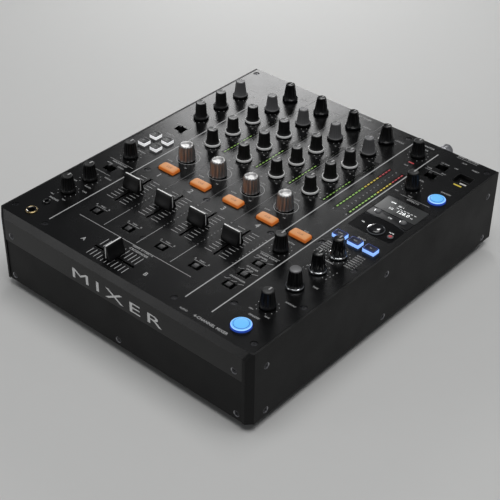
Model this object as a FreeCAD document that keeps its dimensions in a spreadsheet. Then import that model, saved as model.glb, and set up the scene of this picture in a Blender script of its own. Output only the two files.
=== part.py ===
import FreeCAD, Part
import os
import re

import Sketcher

# Four-channel DJ mixer, in millimetres. +X is the player's right, +Y the back, +Z up.
# The origin is under the middle of the whole object, on the surface that it stands on.
# Pieces are drawn in the case's own frame (x = 0 and y = 0 in the middle of the case,
# z = 0 at its underside), and each finished node is then placed on its feet.

SIZES = {
    # case, without feet, knobs and rear terminals
    "body_width": 320.0,
    "body_depth": 375.0,
    "body_height": 79.0,
    "skin": 2.0,                    # sheet thickness of every case panel
    "seam": 0.3,                    # gap between neighbouring case panels
    "corner_cut": 6.0,              # 45 degree facet at each front corner
    "lip_run": 4.2,                 # sloping front edge of the top cover, front to back
    "lip_drop": 7.3,                # and top to bottom
    "cover_front": 32.0,            # height of the cover's front flange, from the top
    "front_setback": 0.8,           # lower front panel behind the cover's flange
    "tray_wall": 9.0,               # folded rim of the bottom tray
    "foot_height": 9.0,
    "foot_radius": 11.0,
    "foot_taper": 1.5,
    "foot_inset": 26.0,
    "rear_reach": 12.9,             # the terminals' reach behind the rear panel
    # columns of controls across the panel
    "left_inset": 28.5,             # microphone and headphone column, from the left side
    "effect_inset": 33.0,           # effect column, from the right side
    "channel_first": -86.3,
    "channel_pitch": 42.8,
    "master_column": 82.0,
    "meter_offset": 18.5,           # level meter, from its channel's middle
    "send_column": 111.5,
    # rows of controls, from the middle of the panel
    "row_selector": 158.5,
    "row_trim": 128.3,
    "row_hi": 97.0,
    "row_mid": 65.8,
    "row_low": 34.6,
    "row_colour": -3.5,
    "row_cue": -29.0,
    "row_fader": -78.5,
    "row_assign": -127.0,
    "row_crossfader": -165.5,
    "row_parameter": -38.0,
    "row_mixing": -93.5,
    "row_phones_level": -122.0,
    "row_phones_switch": -67.0,
    "row_booth": -57.0,
    "row_send": 107.0,
    "row_effect_select": -30.0,
    "row_effect_channel": -59.0,
    "row_effect_time": -91.0,
    "row_effect_level": -127.5,
    "row_effect_on": -161.5,
    "row_band": -4.5,
    "crossfader_x": -22.3,
    # knobs: skirt and waist radii, top radius and height above the panel, for each style
    "eq_skirt": 8.3,
    "eq_waist": 6.2,
    "eq_top": 5.4,
    "eq_tall": 18.5,
    "selector_skirt": 8.3,
    "selector_waist": 6.9,
    "selector_top": 5.0,
    "selector_tall": 19.5,
    "colour_skirt": 8.9,
    "colour_waist": 8.6,
    "colour_top": 7.5,
    "colour_tall": 17.5,
    "level_skirt": 7.6,
    "level_waist": 7.0,
    "level_top": 5.5,
    "level_tall": 18.0,
    "effect_skirt": 8.5,
    "effect_waist": 6.9,
    "effect_top": 5.2,
    "effect_tall": 20.0,
    "knob_lift": 0.8,               # underside of a knob above the panel
    "skirt_tall": 2.0,
    "knob_edge": 0.8,               # chamfer round a knob's top
    "shaft_radius": 3.0,
    "shaft_fit": 0.08,              # radial running clearance of a shaft in its pot
    "shaft_grip": 9.0,              # depth of a knob's socket
    "shaft_hole_gap": 0.7,          # radial gap round a shaft in the panel
    # potentiometers and the board that carries them
    "board_drop": 14.0,             # board's top face below the panel's top face
    "board_thick": 1.6,
    "board_margin": 9.0,
    "pot_side": 11.0,
    "pot_tall": 7.0,
    "pot_floor": 1.5,
    # faders
    "fader_travel": 45.0,
    "fader_cap_wide": 20.0,
    "fader_cap_base": 10.0,
    "fader_cap_ridge": 3.2,
    "fader_cap_tall": 16.0,
    "fader_cap_foot": 3.0,          # straight part at the foot of the cap
    "fader_lift": 1.0,
    "lever_thick": 1.2,
    "lever_long": 4.0,
    "lever_gap": 0.6,               # round the lever, in its slots
    "fader_body_wide": 13.0,
    "fader_body_long": 64.0,
    "fader_body_tall": 9.0,
    "fader_floor": 2.0,
    # push buttons
    "button_gap": 0.4,
    "button_depth": 8.5,            # from the panel's top face to the button's underside
    "button_travel": 1.0,
    "button_rise": 2.5,
    "cue_wide": 21.0,
    "cue_long": 11.6,
    "colour_button_side": 9.8,
    "colour_button_step": 16.8,
    "colour_button_rise": 3.8,
    "row_colour_buttons": -2.0,
    "band_wide": 13.2,
    "band_long": 9.6,
    "band_step": 17.5,
    "band_rise": 3.6,
    "round_button": 8.8,
    "effect_on_radius": 9.5,
    "send_button_x": 142.5,
    "send_button_y": 104.0,
    # slide switches
    "slider_side": 6.0,
    "slider_rise": 0.6,
    "slider_travel": 2.0,
    "slider_gap": 1.0,
    "slider_hole_long": 9.0,
    "switch_body_tall": 6.0,
    "switch_wall": 1.5,
    "toggle_wide": 4.0,
    "toggle_long": 3.6,
    "toggle_rise": 4.0,
    "curve_step": 20.0,
    "row_curve": -107.0,
    "send_switch_x": 113.0,
    "send_switch_y": 156.5,
    "send_switch_step": 20.0,
    # meters and display
    "meter_wide": 4.0,
    "meter_long": 90.0,
    "row_meter": 75.0,
    "master_meter_step": 15.3,
    "master_meter_x": 84.6,
    "window_gap": 0.15,
    "display_x": 126.8,
    "display_y": 48.5,
    "display_wide": 48.5,
    "display_long": 65.0,
    "tap_radius": 7.4,
    "tap_y": 26.0,
    "tap_x": 128.0,
    "small_button": 6.0,
    "button_bevel": 0.8,
    # sockets on top
    "phones_x": -132.5,
    "phones_y": -167.5,
    "phones_bore": 3.25,
    "phones_ring": 6.0,
    "mini_x": -133.0,
    "mini_y": -148.5,
    "mini_bore": 1.85,
    "mini_ring": 4.0,
    "jack_long": 24.0,
    "mini_long": 16.0,
    "jack_wall": 1.6,
    "jack_room": 6.0,               # round the jacks, in the board
    "seat_gap": 0.02,               # under the rims of sockets
    "neck_fit": 0.1,
    "usb_x": 141.0,
    "usb_y": 151.5,
    "usb_wide": 18.0,
    "usb_long": 18.0,
    "usb_well": 5.0,
    "usb_port_wide": 8.6,
    "usb_port_long": 7.9,
    "usb_deep": 10.0,
    "usb_wall": 1.0,
    "usb_room": 2.0,
    # rear panel
    "rim_rise": 1.5,                # rims of sockets above the panel that they sit in
    "rca_first": -24.0,
    "rca_pitch": 15.0,
    "rca_low": 22.0,
    "rca_rise": 16.0,
    "rca_barrel": 4.15,
    "rca_hole": 1.7,
    "rca_reach": 9.0,
    "rca_seat": 5.0,
    "rca_rim": 1.0,
    "rca_behind": 4.0,              # reach of a jack behind the panel's inner face
    "xlr_radius": 11.5,
    "xlr_cavity": 9.5,
    "xlr_rim": 2.0,
    "xlr_deep": 16.0,
    "socket_floor": 2.0,
    "master_out_x": -96.0,
    "master_out_step": 30.0,
    "mic_in_x": 122.0,
    "low_row": 21.0,
    "high_row": 55.0,
    "inlet_x": -132.0,
    "inlet_wide": 28.0,
    "inlet_tall": 20.0,
    "inlet_wall": 2.0,
    "inlet_deep": 18.0,
    "inlet_rim": 3.0,
    "power_wide": 14.0,
    "power_tall": 10.0,
    "power_reach": 5.0,
    "power_deep": 13.0,
    "power_wall": 1.5,
    "ground_x": 92.0,
    "ground_z": 71.5,
    "ground_radius": 6.5,
    "ground_post": 2.5,
    "ground_stand": 2.0,            # gap between the thumb nut and the panel
    "ground_behind": 3.0,
    "ground_edge": 0.6,
    # inside
    "board_front": 13.0,            # control board's edges, from the faces of the case
    "board_rear": 21.0,
    "main_wide": 180.0,
    "main_long": 250.0,
    "main_x": 45.0,
    "main_y": -25.0,
    "main_corner": 10.0,            # standoffs, from the main board's edges
    "standoff_tall": 8.0,
    "lcd_long": 24.0,
    "lcd_margin": 1.5,
    "jack_board_margin": 7.0,
    "supply_wide": 70.0,
    "supply_long": 150.0,
    "supply_tall": 40.0,
    "supply_inset": 10.0,
    "supply_y": 70.0,
    "vent_long": 60.0,
    "vent_wide": 2.5,
    "vent_pitch": 8.0,
    "vent_x": 70.0,
    "vent_first": -40.0,
    # fasteners
    "screw_head": 3.2,
    "screw_head_tall": 1.1,
    "screw_shank": 1.4,
    "screw_long": 8.0,
    "screw_sink": 0.8,              # head's top below the face that it is let into
    "screw_fit": 0.1,
    "post_radius": 3.6,
    "flange_screw_inset": 18.0,     # front screws, from the sides of the case
    "flange_screw_drop": 24.5,
    "lower_screw_inset": 15.5,
    "tray_screw_drop": 2.5,         # below the top of the tray's rim
    "side_screw_front": 21.0,
    "side_screw_middle": 2.0,
    "side_screw_rear": 15.0,
    "side_screw_drop": 22.0,
}

CHANNELS = (1, 2, 3, 4)
THROUGH = "2 * body_height"          # longer than any hole that it cuts

doc = FreeCAD.newDocument("dj_mixer")
sheet = doc.addObject("Spreadsheet::Sheet", "Sizes")
for line, (alias, value) in enumerate(SIZES.items(), start=1):
    sheet.set("A%d" % line, alias)
    sheet.set("B%d" % line, repr(value))
    sheet.setAlias("B%d" % line, alias)
doc.recompute()

nodes = []


def sized(formula):
    """A formula written in size names, as an expression that reads the sheet."""
    return re.sub(r"[a-z]\w*", lambda word: "Sizes." + word[0] if word[0] in SIZES else word[0],
                  formula)


def value_of(formula):
    """The number that a formula gives with the sheet's present sizes."""
    return float(sheet.evalExpression(sized(formula)))


def put(thing, x="0", y="0", z="0", turn=None):
    """Place an object at three formulas, turned by (axis, degrees) first."""
    if turn:
        thing.Placement = FreeCAD.Placement(
            FreeCAD.Vector(), FreeCAD.Rotation(FreeCAD.Vector(*turn[0]), turn[1]))
    for axis, formula in zip("xyz", (x, y, z)):
        if formula != "0":
            thing.setExpression(".Placement.Base." + axis, sized(formula))
    return thing


def box(name, wide, long, tall, x="0", y="0", z="0"):
    """A box centred on x and y that stands on z."""
    block = doc.addObject("Part::Box", name)
    for side, formula in (("Length", wide), ("Width", long), ("Height", tall)):
        block.setExpression(side, sized(formula))
    return put(block, "%s - (%s) / 2" % (x, wide), "%s - (%s) / 2" % (y, long), z)


def cylinder(name, radius, tall, x="0", y="0", z="0", turn=None):
    rod = doc.addObject("Part::Cylinder", name)
    rod.setExpression("Radius", sized(radius))
    rod.setExpression("Height", sized(tall))
    return put(rod, x, y, z, turn)


def cone(name, low_radius, high_radius, tall, x="0", y="0", z="0", turn=None):
    taper = doc.addObject("Part::Cone", name)
    taper.setExpression("Radius1", sized(low_radius))
    taper.setExpression("Radius2", sized(high_radius))
    taper.setExpression("Height", sized(tall))
    return put(taper, x, y, z, turn)


def group(name, pieces):
    """Several solids kept apart in one object."""
    bunch = doc.addObject("Part::Compound", name)
    bunch.Links = pieces
    return bunch


def copy_of(name, source, x="0", y="0", z="0", turn=None):
    return put(group(name, [source]), x, y, z, turn)


def fused(name, pieces):
    whole = doc.addObject("Part::MultiFuse", name)
    whole.Shapes = pieces
    return whole


def cut(name, base, tools):
    """A base with all the tools taken away."""
    result = doc.addObject("Part::Cut", name)
    result.Base = base
    result.Tool = tools[0] if len(tools) == 1 else group(name + "_tools", tools)
    return result


def outline(body, plane, name, points):
    """A closed sketch through points given as pairs of formulas, every point held by the sheet."""
    sketch = body.newObject("Sketcher::SketchObject", name)
    planes = {feature.Role: feature for feature in body.Origin.OriginFeatures}
    sketch.AttachmentSupport = (planes[plane], [""])
    sketch.MapMode = "FlatFace"
    places = [FreeCAD.Vector(value_of(across), value_of(up), 0) for across, up in points]
    for number, place in enumerate(places):
        sketch.addGeometry(Part.LineSegment(place, places[(number + 1) % len(places)]), False)
    for number, pair in enumerate(points):
        after = (number + 1) % len(points)
        sketch.addConstraint(Sketcher.Constraint("Coincident", number, 2, after, 1))
        for kind, axis, formula in zip(("DistanceX", "DistanceY"), (-2, -1), pair):
            if formula == "0":
                sketch.addConstraint(Sketcher.Constraint("PointOnObject", number, 1, axis))
                continue
            held = Sketcher.Constraint(kind, -1, 1, number, 1, value_of(formula))
            sketch.setExpression("Constraints[%d]" % sketch.addConstraint(held), sized(formula))
    return sketch


def new_body(name):
    return doc.addObject("PartDesign::Body", name)


def pad(body, sketch, length, middle=False, flipped=False):
    """Thicken a sketch by a length, on both sides of it if middle is set."""
    feature = body.newObject("PartDesign::Pad", sketch.Name + "_pad")
    feature.Profile = sketch
    feature.setExpression("Length", sized(length))
    feature.Midplane = middle
    feature.Reversed = flipped
    return feature


def turned(name, points):
    """A body turned about Z from an outline of (radius, height) points."""
    body = new_body(name)
    sketch = outline(body, "XZ_Plane", name + "_profile", points)
    feature = body.newObject("PartDesign::Revolution", name + "_turn")
    feature.Profile = sketch
    feature.ReferenceAxis = (sketch, ["V_Axis"])
    feature.Angle = 360
    return body


def finish(name, pieces, x="0", y="0", z="0", turn=None):
    """Make the node: its pieces, moved from the case's frame to the object's."""
    node = group(name, pieces)
    nodes.append(node)
    return put(node, x, "%s - rear_reach / 2" % y, "%s + foot_height" % z, turn)


# ---------------------------------------------------------------- screws and their holes

FRONT = ((1, 0, 0), 90)             # turns +Z to -Y
BACK = ((1, 0, 0), -90)             # turns +Z to +Y
RIGHT = ((0, 1, 0), 90)             # turns +Z to +X
LEFT = ((0, 1, 0), -90)             # turns +Z to -X


def countersunk(name, slack):
    """A countersunk screw with its head's top at z = 0; slack makes it the hole's shape."""
    head = cone(name + "_head", "screw_shank" + slack, "screw_head" + slack,
                "screw_head_tall", z="0 - screw_head_tall - screw_sink")
    shank = cylinder(name + "_shank", "screw_shank" + slack, "screw_long",
                     z="0 - screw_long - screw_sink")
    return head, shank


screw = fused("screw", countersunk("screw", ""))
mouth = cylinder("hole_mouth", "screw_head + screw_fit", "2 * screw_sink", z="0 - screw_sink")
screw_hole = fused("screw_hole", countersunk("hole", " + screw_fit") + (mouth,))
screws = []


def screw_at(x, y, z, turn=None):
    """Drive a screw here, and give the hole that it needs."""
    number = len(screws)
    screws.append(copy_of("screw_%d" % number, screw, x, y, z, turn))
    return copy_of("screw_hole_%d" % number, screw_hole, x, y, z, turn)


# ---------------------------------------------------------------- where the controls are

LEFT_COLUMN = "left_inset - body_width / 2"
EFFECT_COLUMN = "body_width / 2 - effect_inset"
PANEL_TOP = "body_height"
BOARD_TOP = "body_height - board_drop"


def channel_column(channel):
    return "channel_first + %d * channel_pitch" % (channel - 1)


KNOBS = []                          # (node, style, x, y)
for channel in CHANNELS:
    for row, style in (("selector", "selector"), ("trim", "eq"), ("hi", "eq"), ("mid", "eq"),
                       ("low", "eq"), ("colour", "colour")):
        KNOBS.append(("channel_%d_%s_knob" % (channel, row), style, channel_column(channel),
                      "row_" + row))
KNOBS += [
    ("mic_level_knob", "eq", LEFT_COLUMN, "row_trim"),
    ("mic_hi_knob", "eq", LEFT_COLUMN, "row_hi"),
    ("mic_low_knob", "eq", LEFT_COLUMN, "row_mid"),
    ("colour_parameter_knob", "level", LEFT_COLUMN, "row_parameter"),
    ("phones_mixing_knob", "level", LEFT_COLUMN, "row_mixing"),
    ("phones_level_knob", "level", LEFT_COLUMN, "row_phones_level"),
    ("master_level_knob", "level", "master_column", "row_selector"),
    ("booth_level_knob", "level", "master_column", "row_booth"),
    ("send_level_knob", "level", "send_column", "row_send"),
    ("effect_select_knob", "effect", EFFECT_COLUMN, "row_effect_select"),
    ("effect_channel_knob", "effect", EFFECT_COLUMN, "row_effect_channel"),
    ("effect_time_knob", "effect", EFFECT_COLUMN, "row_effect_time"),
    ("effect_level_knob", "level", EFFECT_COLUMN, "row_effect_level"),
]

panel_holes = []                    # everything cut out of the top cover
modules = []                        # pots, faders and switches on the control board


# ---------------------------------------------------------------- knobs and their pots

def knob_style(style):
    """A knob's cap and its shaft, standing on the panel at z = 0."""
    bore_top = "knob_lift + shaft_grip"
    cap = turned(style + "_cap", [
        ("shaft_radius", "knob_lift"),
        (style + "_skirt", "knob_lift"),
        (style + "_skirt", "knob_lift + skirt_tall"),
        (style + "_waist", "knob_lift + skirt_tall + knob_edge"),
        (style + "_top", style + "_tall - knob_edge"),
        (style + "_top - knob_edge", style + "_tall"),
        ("0", style + "_tall"),
        ("0", bore_top),
        ("shaft_radius", bore_top),
    ])
    foot = "shaft_fit + pot_floor - board_drop"
    shaft = cylinder(style + "_shaft", "shaft_radius", "%s - (%s)" % (bore_top, foot), z=foot)
    return [cap, shaft]


STYLES = {style: knob_style(style) for style in ("eq", "selector", "colour", "level", "effect")}

pot_case = box("pot_case", "pot_side", "pot_side", "pot_tall")
pot_bore = cylinder("pot_bore", "shaft_radius + shaft_fit", "pot_tall", z="pot_floor")
pot = cut("pot", pot_case, [pot_bore])

for name, style, x, y in KNOBS:
    finish(name, STYLES[style], x, y, PANEL_TOP)
    modules.append(copy_of(name + "_pot", pot, x, y, BOARD_TOP))
    panel_holes.append(cylinder(name + "_hole", "shaft_radius + shaft_hole_gap", THROUGH, x, y))


# ---------------------------------------------------------------- faders

def fader_cap():
    """A wedge with a narrow ridge, and the metal lever that carries it."""
    base, ridge = "fader_cap_base / 2", "fader_cap_ridge / 2"
    body = new_body("fader_cap")
    sketch = outline(body, "YZ_Plane", "fader_cap_profile", [
        ("0 - " + base, "fader_lift"),
        (base, "fader_lift"),
        (base, "fader_lift + fader_cap_foot"),
        (ridge, "fader_cap_tall"),
        ("0 - " + ridge, "fader_cap_tall"),
        ("0 - " + base, "fader_lift + fader_cap_foot"),
    ])
    pad(body, sketch, "fader_cap_wide", middle=True)
    foot = "fader_floor + lever_gap - board_drop"
    lever = box("fader_lever", "lever_thick", "lever_long", "fader_lift - (%s)" % foot, z=foot)
    return [body, lever]


SLOT_LONG = "fader_travel + lever_long + 2 * lever_gap"
SLOT_WIDE = "lever_thick + 2 * lever_gap"

cap_pieces = fader_cap()
fader_case = box("fader_case", "fader_body_wide", "fader_body_long", "fader_body_tall")
fader_slot = box("fader_slot", SLOT_WIDE, SLOT_LONG, "fader_body_tall", z="fader_floor")
fader_unit = cut("fader_unit", fader_case, [fader_slot])
panel_slot = box("panel_slot", SLOT_WIDE, SLOT_LONG, THROUGH)

ACROSS = ((0, 0, 1), 90)            # turns a channel fader into the crossfader
FADERS = [("channel_%d_fader" % channel, channel_column(channel), "row_fader", None)
          for channel in CHANNELS]
FADERS.append(("crossfader", "crossfader_x", "row_crossfader", ACROSS))
for name, x, y, turn in FADERS:
    finish(name, cap_pieces, x, y, PANEL_TOP, turn)
    modules.append(copy_of(name + "_unit", fader_unit, x, y, BOARD_TOP, turn))
    panel_holes.append(copy_of(name + "_slot", panel_slot, x, y, "0", turn))


# ---------------------------------------------------------------- push buttons

def bevelled(name, wide, long, rise):
    """A rectangular button with its top edge bevelled, from its underside to its face."""
    block = box(name + "_block", wide, long, "button_depth + " + rise, z="0 - button_depth")
    block.recompute()
    edges = [number for number, edge in enumerate(block.Shape.Edges, start=1)
             if min(vertex.Z for vertex in edge.Vertexes) > block.Shape.BoundBox.ZMax - 0.01]
    button = doc.addObject("Part::Chamfer", name)
    button.Base = block
    bevel = value_of("button_bevel")
    button.Edges = [(number, bevel, bevel) for number in edges]
    return button


def tact_switch(name, x, y):
    """The small switch on the board under a button, clear of it at full travel."""
    tall = "board_drop - button_depth - button_travel - button_gap"
    modules.append(box(name, "small_button", "small_button", tall, x, y, BOARD_TOP))


def button_row(prefix, wide, long, rise, places):
    """Buttons of one size, each with its hole in the cover and its switch."""
    master = bevelled(prefix, wide, long, rise)
    buttons = []
    for number, (x, y) in enumerate(places, start=1):
        label = "%s_%d" % (prefix, number)
        buttons.append(copy_of(label, master, x, y))
        panel_holes.append(box(label + "_hole", wide + " + 2 * button_gap",
                               long + " + 2 * button_gap", THROUGH, x, y))
        tact_switch(label + "_switch", x, y)
    return buttons


def round_button(name, radius, x, y, holes):
    """A round button with its hole and switch."""
    holes.append(cylinder(name + "_hole", radius + " + button_gap", THROUGH, x, y))
    tact_switch(name + "_switch", x, y)
    stem = cylinder(name + "_stem", radius, "button_depth + button_rise - knob_edge", x, y,
                    "0 - button_depth")
    crown = cone(name + "_crown", radius, radius + " - knob_edge", "knob_edge", x, y,
                 "button_rise - knob_edge")
    return fused(name, [stem, crown])


cue_places = [(channel_column(channel), "row_cue") for channel in CHANNELS]
cue_places.append(("master_column", "row_cue"))
finish("cue_buttons", button_row("cue_button", "cue_wide", "cue_long", "button_rise", cue_places),
       z=PANEL_TOP)

half_step = "colour_button_step / 2"
colour_places = [("%s %s %s" % (LEFT_COLUMN, across, half_step),
                  "row_colour_buttons %s %s" % (along, half_step))
                 for along in "+-" for across in "-+"]
finish("colour_effect_buttons",
       button_row("colour_button", "colour_button_side", "colour_button_side",
                  "colour_button_rise", colour_places), z=PANEL_TOP)

band_places = [("%s %s band_step" % (EFFECT_COLUMN, step), "row_band")
               for step in ("- 1 *", "+ 0 *", "+ 1 *")]
beat_buttons = button_row("band_button", "band_wide", "band_long", "band_rise", band_places)
beat_buttons.append(round_button("effect_on_button", "effect_on_radius", EFFECT_COLUMN,
                                 "row_effect_on", panel_holes))
beat_buttons.append(round_button("send_on_button", "round_button", "send_button_x",
                                 "send_button_y", panel_holes))
finish("beat_effect_buttons", beat_buttons, z=PANEL_TOP)

display_holes = []
display_buttons = [round_button("tap_button", "tap_radius", "tap_x", "tap_y", display_holes)]
DISPLAY_PLACES = ((-15.5, 3.5), (13.5, 3.5), (18.2, -23.5))     # from the display's middle
for number, (across, along) in enumerate(DISPLAY_PLACES, start=1):
    display_buttons.append(round_button("display_button_%d" % number, "small_button / 2",
                                        "display_x + %s" % across, "display_y + %s" % along,
                                        display_holes))
finish("display_buttons", display_buttons, z=PANEL_TOP)


# ---------------------------------------------------------------- slide switches

SWITCH_HOLE = "slider_side + 2 * slider_travel + 2 * slider_gap"


def slide_switch(name, wide, long, rise, x, y):
    """A lever that slides sideways in its hole, over a hollow housing on the board."""
    foot = "switch_body_tall / 2 - board_drop"
    panel_holes.append(box(name + "_hole", SWITCH_HOLE, "slider_hole_long", THROUGH, x, y))
    housing = box(name + "_case", SWITCH_HOLE + " + 2 * switch_wall",
                  "slider_hole_long + 2 * switch_wall", "switch_body_tall", x, y, BOARD_TOP)
    room = box(name + "_room", SWITCH_HOLE, "slider_hole_long", "switch_body_tall", x, y,
               BOARD_TOP + " + switch_body_tall / 2 - slider_gap")
    modules.append(cut(name + "_housing", housing, [room]))
    return box(name, wide, long, "%s - (%s)" % (rise, foot), x, y, foot)


sliders = [slide_switch("assign_switch_%d" % channel, "slider_side", "slider_side", "slider_rise",
                        channel_column(channel), "row_assign") for channel in CHANNELS]
sliders += [slide_switch("curve_switch_%d" % (step + 2), "slider_side", "slider_side",
                         "slider_rise", "master_column", "row_curve + %d * curve_step" % step)
            for step in (-1, 0, 1)]
TOGGLES = (("mic_switch", LEFT_COLUMN, "row_low"),
           ("phones_switch", LEFT_COLUMN, "row_phones_switch"),
           ("send_switch_1", "send_switch_x", "send_switch_y"),
           ("send_switch_2", "send_switch_x", "send_switch_y - send_switch_step"))
sliders += [slide_switch(name, "toggle_wide", "toggle_long", "toggle_rise", x, y)
            for name, x, y in TOGGLES]
finish("slide_switches", sliders, z=PANEL_TOP)


# ---------------------------------------------------------------- windows in the cover

def window(name, wide, long, x, y, drop, holes=()):
    """A clear plate let into the cover, from the cover's top face down by a depth."""
    panel_holes.append(box(name + "_hole", "%s + 2 * window_gap" % wide,
                           "%s + 2 * window_gap" % long, THROUGH, x, y))
    plate = box(name + "_plate", wide, long, drop, x, y, "body_height - (%s)" % drop)
    return cut(name, plate, list(holes)) if holes else plate


windows = [window("display", "display_wide", "display_long", "display_x", "display_y", "skin",
                  display_holes)]
METERS = [(channel_column(channel) + " + meter_offset") for channel in CHANNELS]
METERS += ["master_meter_x - master_meter_step / 2", "master_meter_x + master_meter_step / 2"]
for number, x in enumerate(METERS, start=1):
    windows.append(window("meter_%d" % number, "meter_wide", "meter_long", x, "row_meter",
                          "board_drop"))
finish("windows", windows)


# ---------------------------------------------------------------- sockets on top

sockets = []


def jack(name, bore, ring, depth, x, y):
    """A jack: its case under the cover, a neck through it and a ring on top."""
    neck = bore + " + jack_wall"
    shoulder = bore + " + 2 * jack_wall"
    shape = turned(name, [
        (bore, "2 * jack_wall - " + depth),
        (bore, "rim_rise"),
        (ring, "rim_rise"),
        (ring, "seat_gap"),
        (neck, "seat_gap"),
        (neck, "0 - skin - seat_gap"),
        (shoulder, "0 - skin - seat_gap"),
        (shoulder, "jack_wall - " + depth),
        ("0", "jack_wall - " + depth),
        ("0", "2 * jack_wall - " + depth),
    ])
    panel_holes.append(cylinder(name + "_hole", neck + " + neck_fit", THROUGH, x, y))
    sockets.append(copy_of(name + "_socket", shape, x, y, PANEL_TOP))


def hollow_box(name, sizes, hollow, x, y, z):
    """A block with a box-shaped hollow that opens through its top."""
    block = box(name + "_block", sizes[0], sizes[1], sizes[2], x, y, z)
    room = box(name + "_room", hollow[0], hollow[1], sizes[2], x, y, z + " + " + hollow[2])
    return cut(name, block, [room])


jack("phones_jack", "phones_bore", "phones_ring", "jack_long", "phones_x", "phones_y")
jack("mini_jack", "mini_bore", "mini_ring", "mini_long", "mini_x", "mini_y")

usb_foot = "body_height - usb_well - usb_deep - skin"
usb_well = hollow_box("usb_case", ("usb_wide", "usb_long", "usb_well + usb_deep + skin"),
                      ("usb_wide - 2 * usb_wall", "usb_long - 2 * usb_wall",
                       "usb_deep + skin"),
                      "usb_x", "usb_y", usb_foot)
usb_bore = box("usb_bore", "usb_port_wide", "usb_port_long", "usb_deep + usb_wall", "usb_x",
               "usb_y", usb_foot + " + skin")
sockets.append(cut("usb_port", usb_well, [usb_bore]))
panel_holes.append(box("usb_hole", "usb_wide + 2 * window_gap", "usb_long + 2 * window_gap",
                       THROUGH, "usb_x", "usb_y"))


# ---------------------------------------------------------------- sockets at the back

rear_holes = []
REAR = "body_depth / 2"


def rear_socket(name, shape, hole, x, z):
    """Set a turned socket in the rear panel, in a hole of the given radius."""
    sockets.append(copy_of(name, shape, x, REAR, z, BACK))
    rear_holes.append(cylinder(name + "_hole", hole, "4 * skin", x, REAR + " - 2 * skin", z, BACK))


rca_jack = turned("rca_jack", [
    ("rca_hole", "0 - skin"),
    ("rca_hole", "rca_reach"),
    ("rca_barrel", "rca_reach"),
    ("rca_barrel", "rim_rise"),
    ("rca_seat + rca_rim", "rim_rise"),
    ("rca_seat + rca_rim", "seat_gap"),
    ("rca_seat", "seat_gap"),
    ("rca_seat", "0 - skin - rca_behind"),
    ("0", "0 - skin - rca_behind"),
    ("0", "0 - skin"),
])
for column in range(8):
    for row in range(2):
        rear_socket("rca_jack_%d_%d" % (column + 1, row + 1), rca_jack, "rca_seat + neck_fit",
                    "rca_first + %d * rca_pitch" % column, "rca_low + %d * rca_rise" % row)

xlr_socket = turned("xlr_socket", [
    ("xlr_cavity", "socket_floor - xlr_deep"),
    ("xlr_cavity", "rim_rise"),
    ("xlr_radius + xlr_rim", "rim_rise"),
    ("xlr_radius + xlr_rim", "seat_gap"),
    ("xlr_radius", "seat_gap"),
    ("xlr_radius", "0 - xlr_deep"),
    ("0", "0 - xlr_deep"),
    ("0", "socket_floor - xlr_deep"),
])
XLRS = [("master_out_%d" % (step + 1), "master_out_x + %d * master_out_step" % step, "low_row")
        for step in (0, 1)]
XLRS += [("mic_in_1", "mic_in_x", "low_row"), ("mic_in_2", "mic_in_x", "high_row")]
for name, x, z in XLRS:
    rear_socket(name, xlr_socket, "xlr_radius + neck_fit", x, z)

booth_jack = turned("booth_jack", [
    ("phones_bore", "socket_floor - jack_long"),
    ("phones_bore", "rim_rise"),
    ("phones_ring", "rim_rise"),
    ("phones_ring", "seat_gap"),
    ("phones_bore + jack_wall", "seat_gap"),
    ("phones_bore + jack_wall", "0 - jack_long"),
    ("0", "0 - jack_long"),
    ("0", "socket_floor - jack_long"),
])
for name, x in (("booth_out_1", "master_out_x"), ("booth_out_2", "master_out_x + master_out_step")):
    rear_socket(name, booth_jack, "phones_bore + jack_wall + neck_fit", x, "high_row")

ground_terminal = turned("ground_terminal", [
    ("0", "0 - skin - ground_behind"),
    ("ground_post", "0 - skin - ground_behind"),
    ("ground_post", "ground_stand"),
    ("ground_radius", "ground_stand"),
    ("ground_radius", "rear_reach - ground_edge"),
    ("ground_radius - ground_edge", "rear_reach"),
    ("0", "rear_reach"),
])
rear_socket("ground_socket", ground_terminal, "ground_post + neck_fit", "ground_x", "ground_z")

inlet_wide_all, inlet_tall_all = "inlet_wide + 2 * inlet_wall", "inlet_tall + 2 * inlet_wall"
inlet_case = fused("inlet_case", [
    box("inlet_back", inlet_wide_all, inlet_tall_all, "inlet_deep + seat_gap",
        z="0 - inlet_deep"),
    box("inlet_flange", inlet_wide_all + " + 2 * inlet_rim", inlet_tall_all + " + 2 * inlet_rim",
        "rim_rise - seat_gap", z="seat_gap"),
])
inlet_room = box("inlet_room", "inlet_wide", "inlet_tall", "inlet_deep + rim_rise",
                 z="inlet_wall - inlet_deep")
sockets.append(copy_of("mains_inlet", cut("inlet", inlet_case, [inlet_room]), "inlet_x", REAR,
                       "low_row", BACK))
rear_holes.append(box("inlet_hole", inlet_wide_all + " + 2 * neck_fit", "6 * skin",
                      inlet_tall_all + " + 2 * neck_fit", "inlet_x", REAR,
                      "low_row - inlet_tall / 2 - inlet_wall - neck_fit"))

power_room = ("power_wide + 2 * button_gap", "power_tall + 2 * button_gap")
power_outside = tuple(side + " + 2 * power_wall" for side in power_room)
power_case = hollow_box("power_case", power_outside + ("power_deep",), power_room + ("skin",),
                        "0", "0", "0 - power_deep")
sockets.append(copy_of("power_switch_case", power_case, "inlet_x", REAR, "high_row", BACK))
rear_holes.append(box("power_hole", power_outside[0] + " + 2 * neck_fit", "6 * skin",
                      power_outside[1] + " + 2 * neck_fit", "inlet_x", REAR,
                      "high_row - power_tall / 2 - button_gap - power_wall - neck_fit"))
power_button = bevelled("power_key", "power_wide", "power_tall", "power_reach")
finish("power_button", [power_button], "inlet_x", REAR, "high_row", BACK)
finish("sockets", sockets)


# ---------------------------------------------------------------- the case

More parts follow.
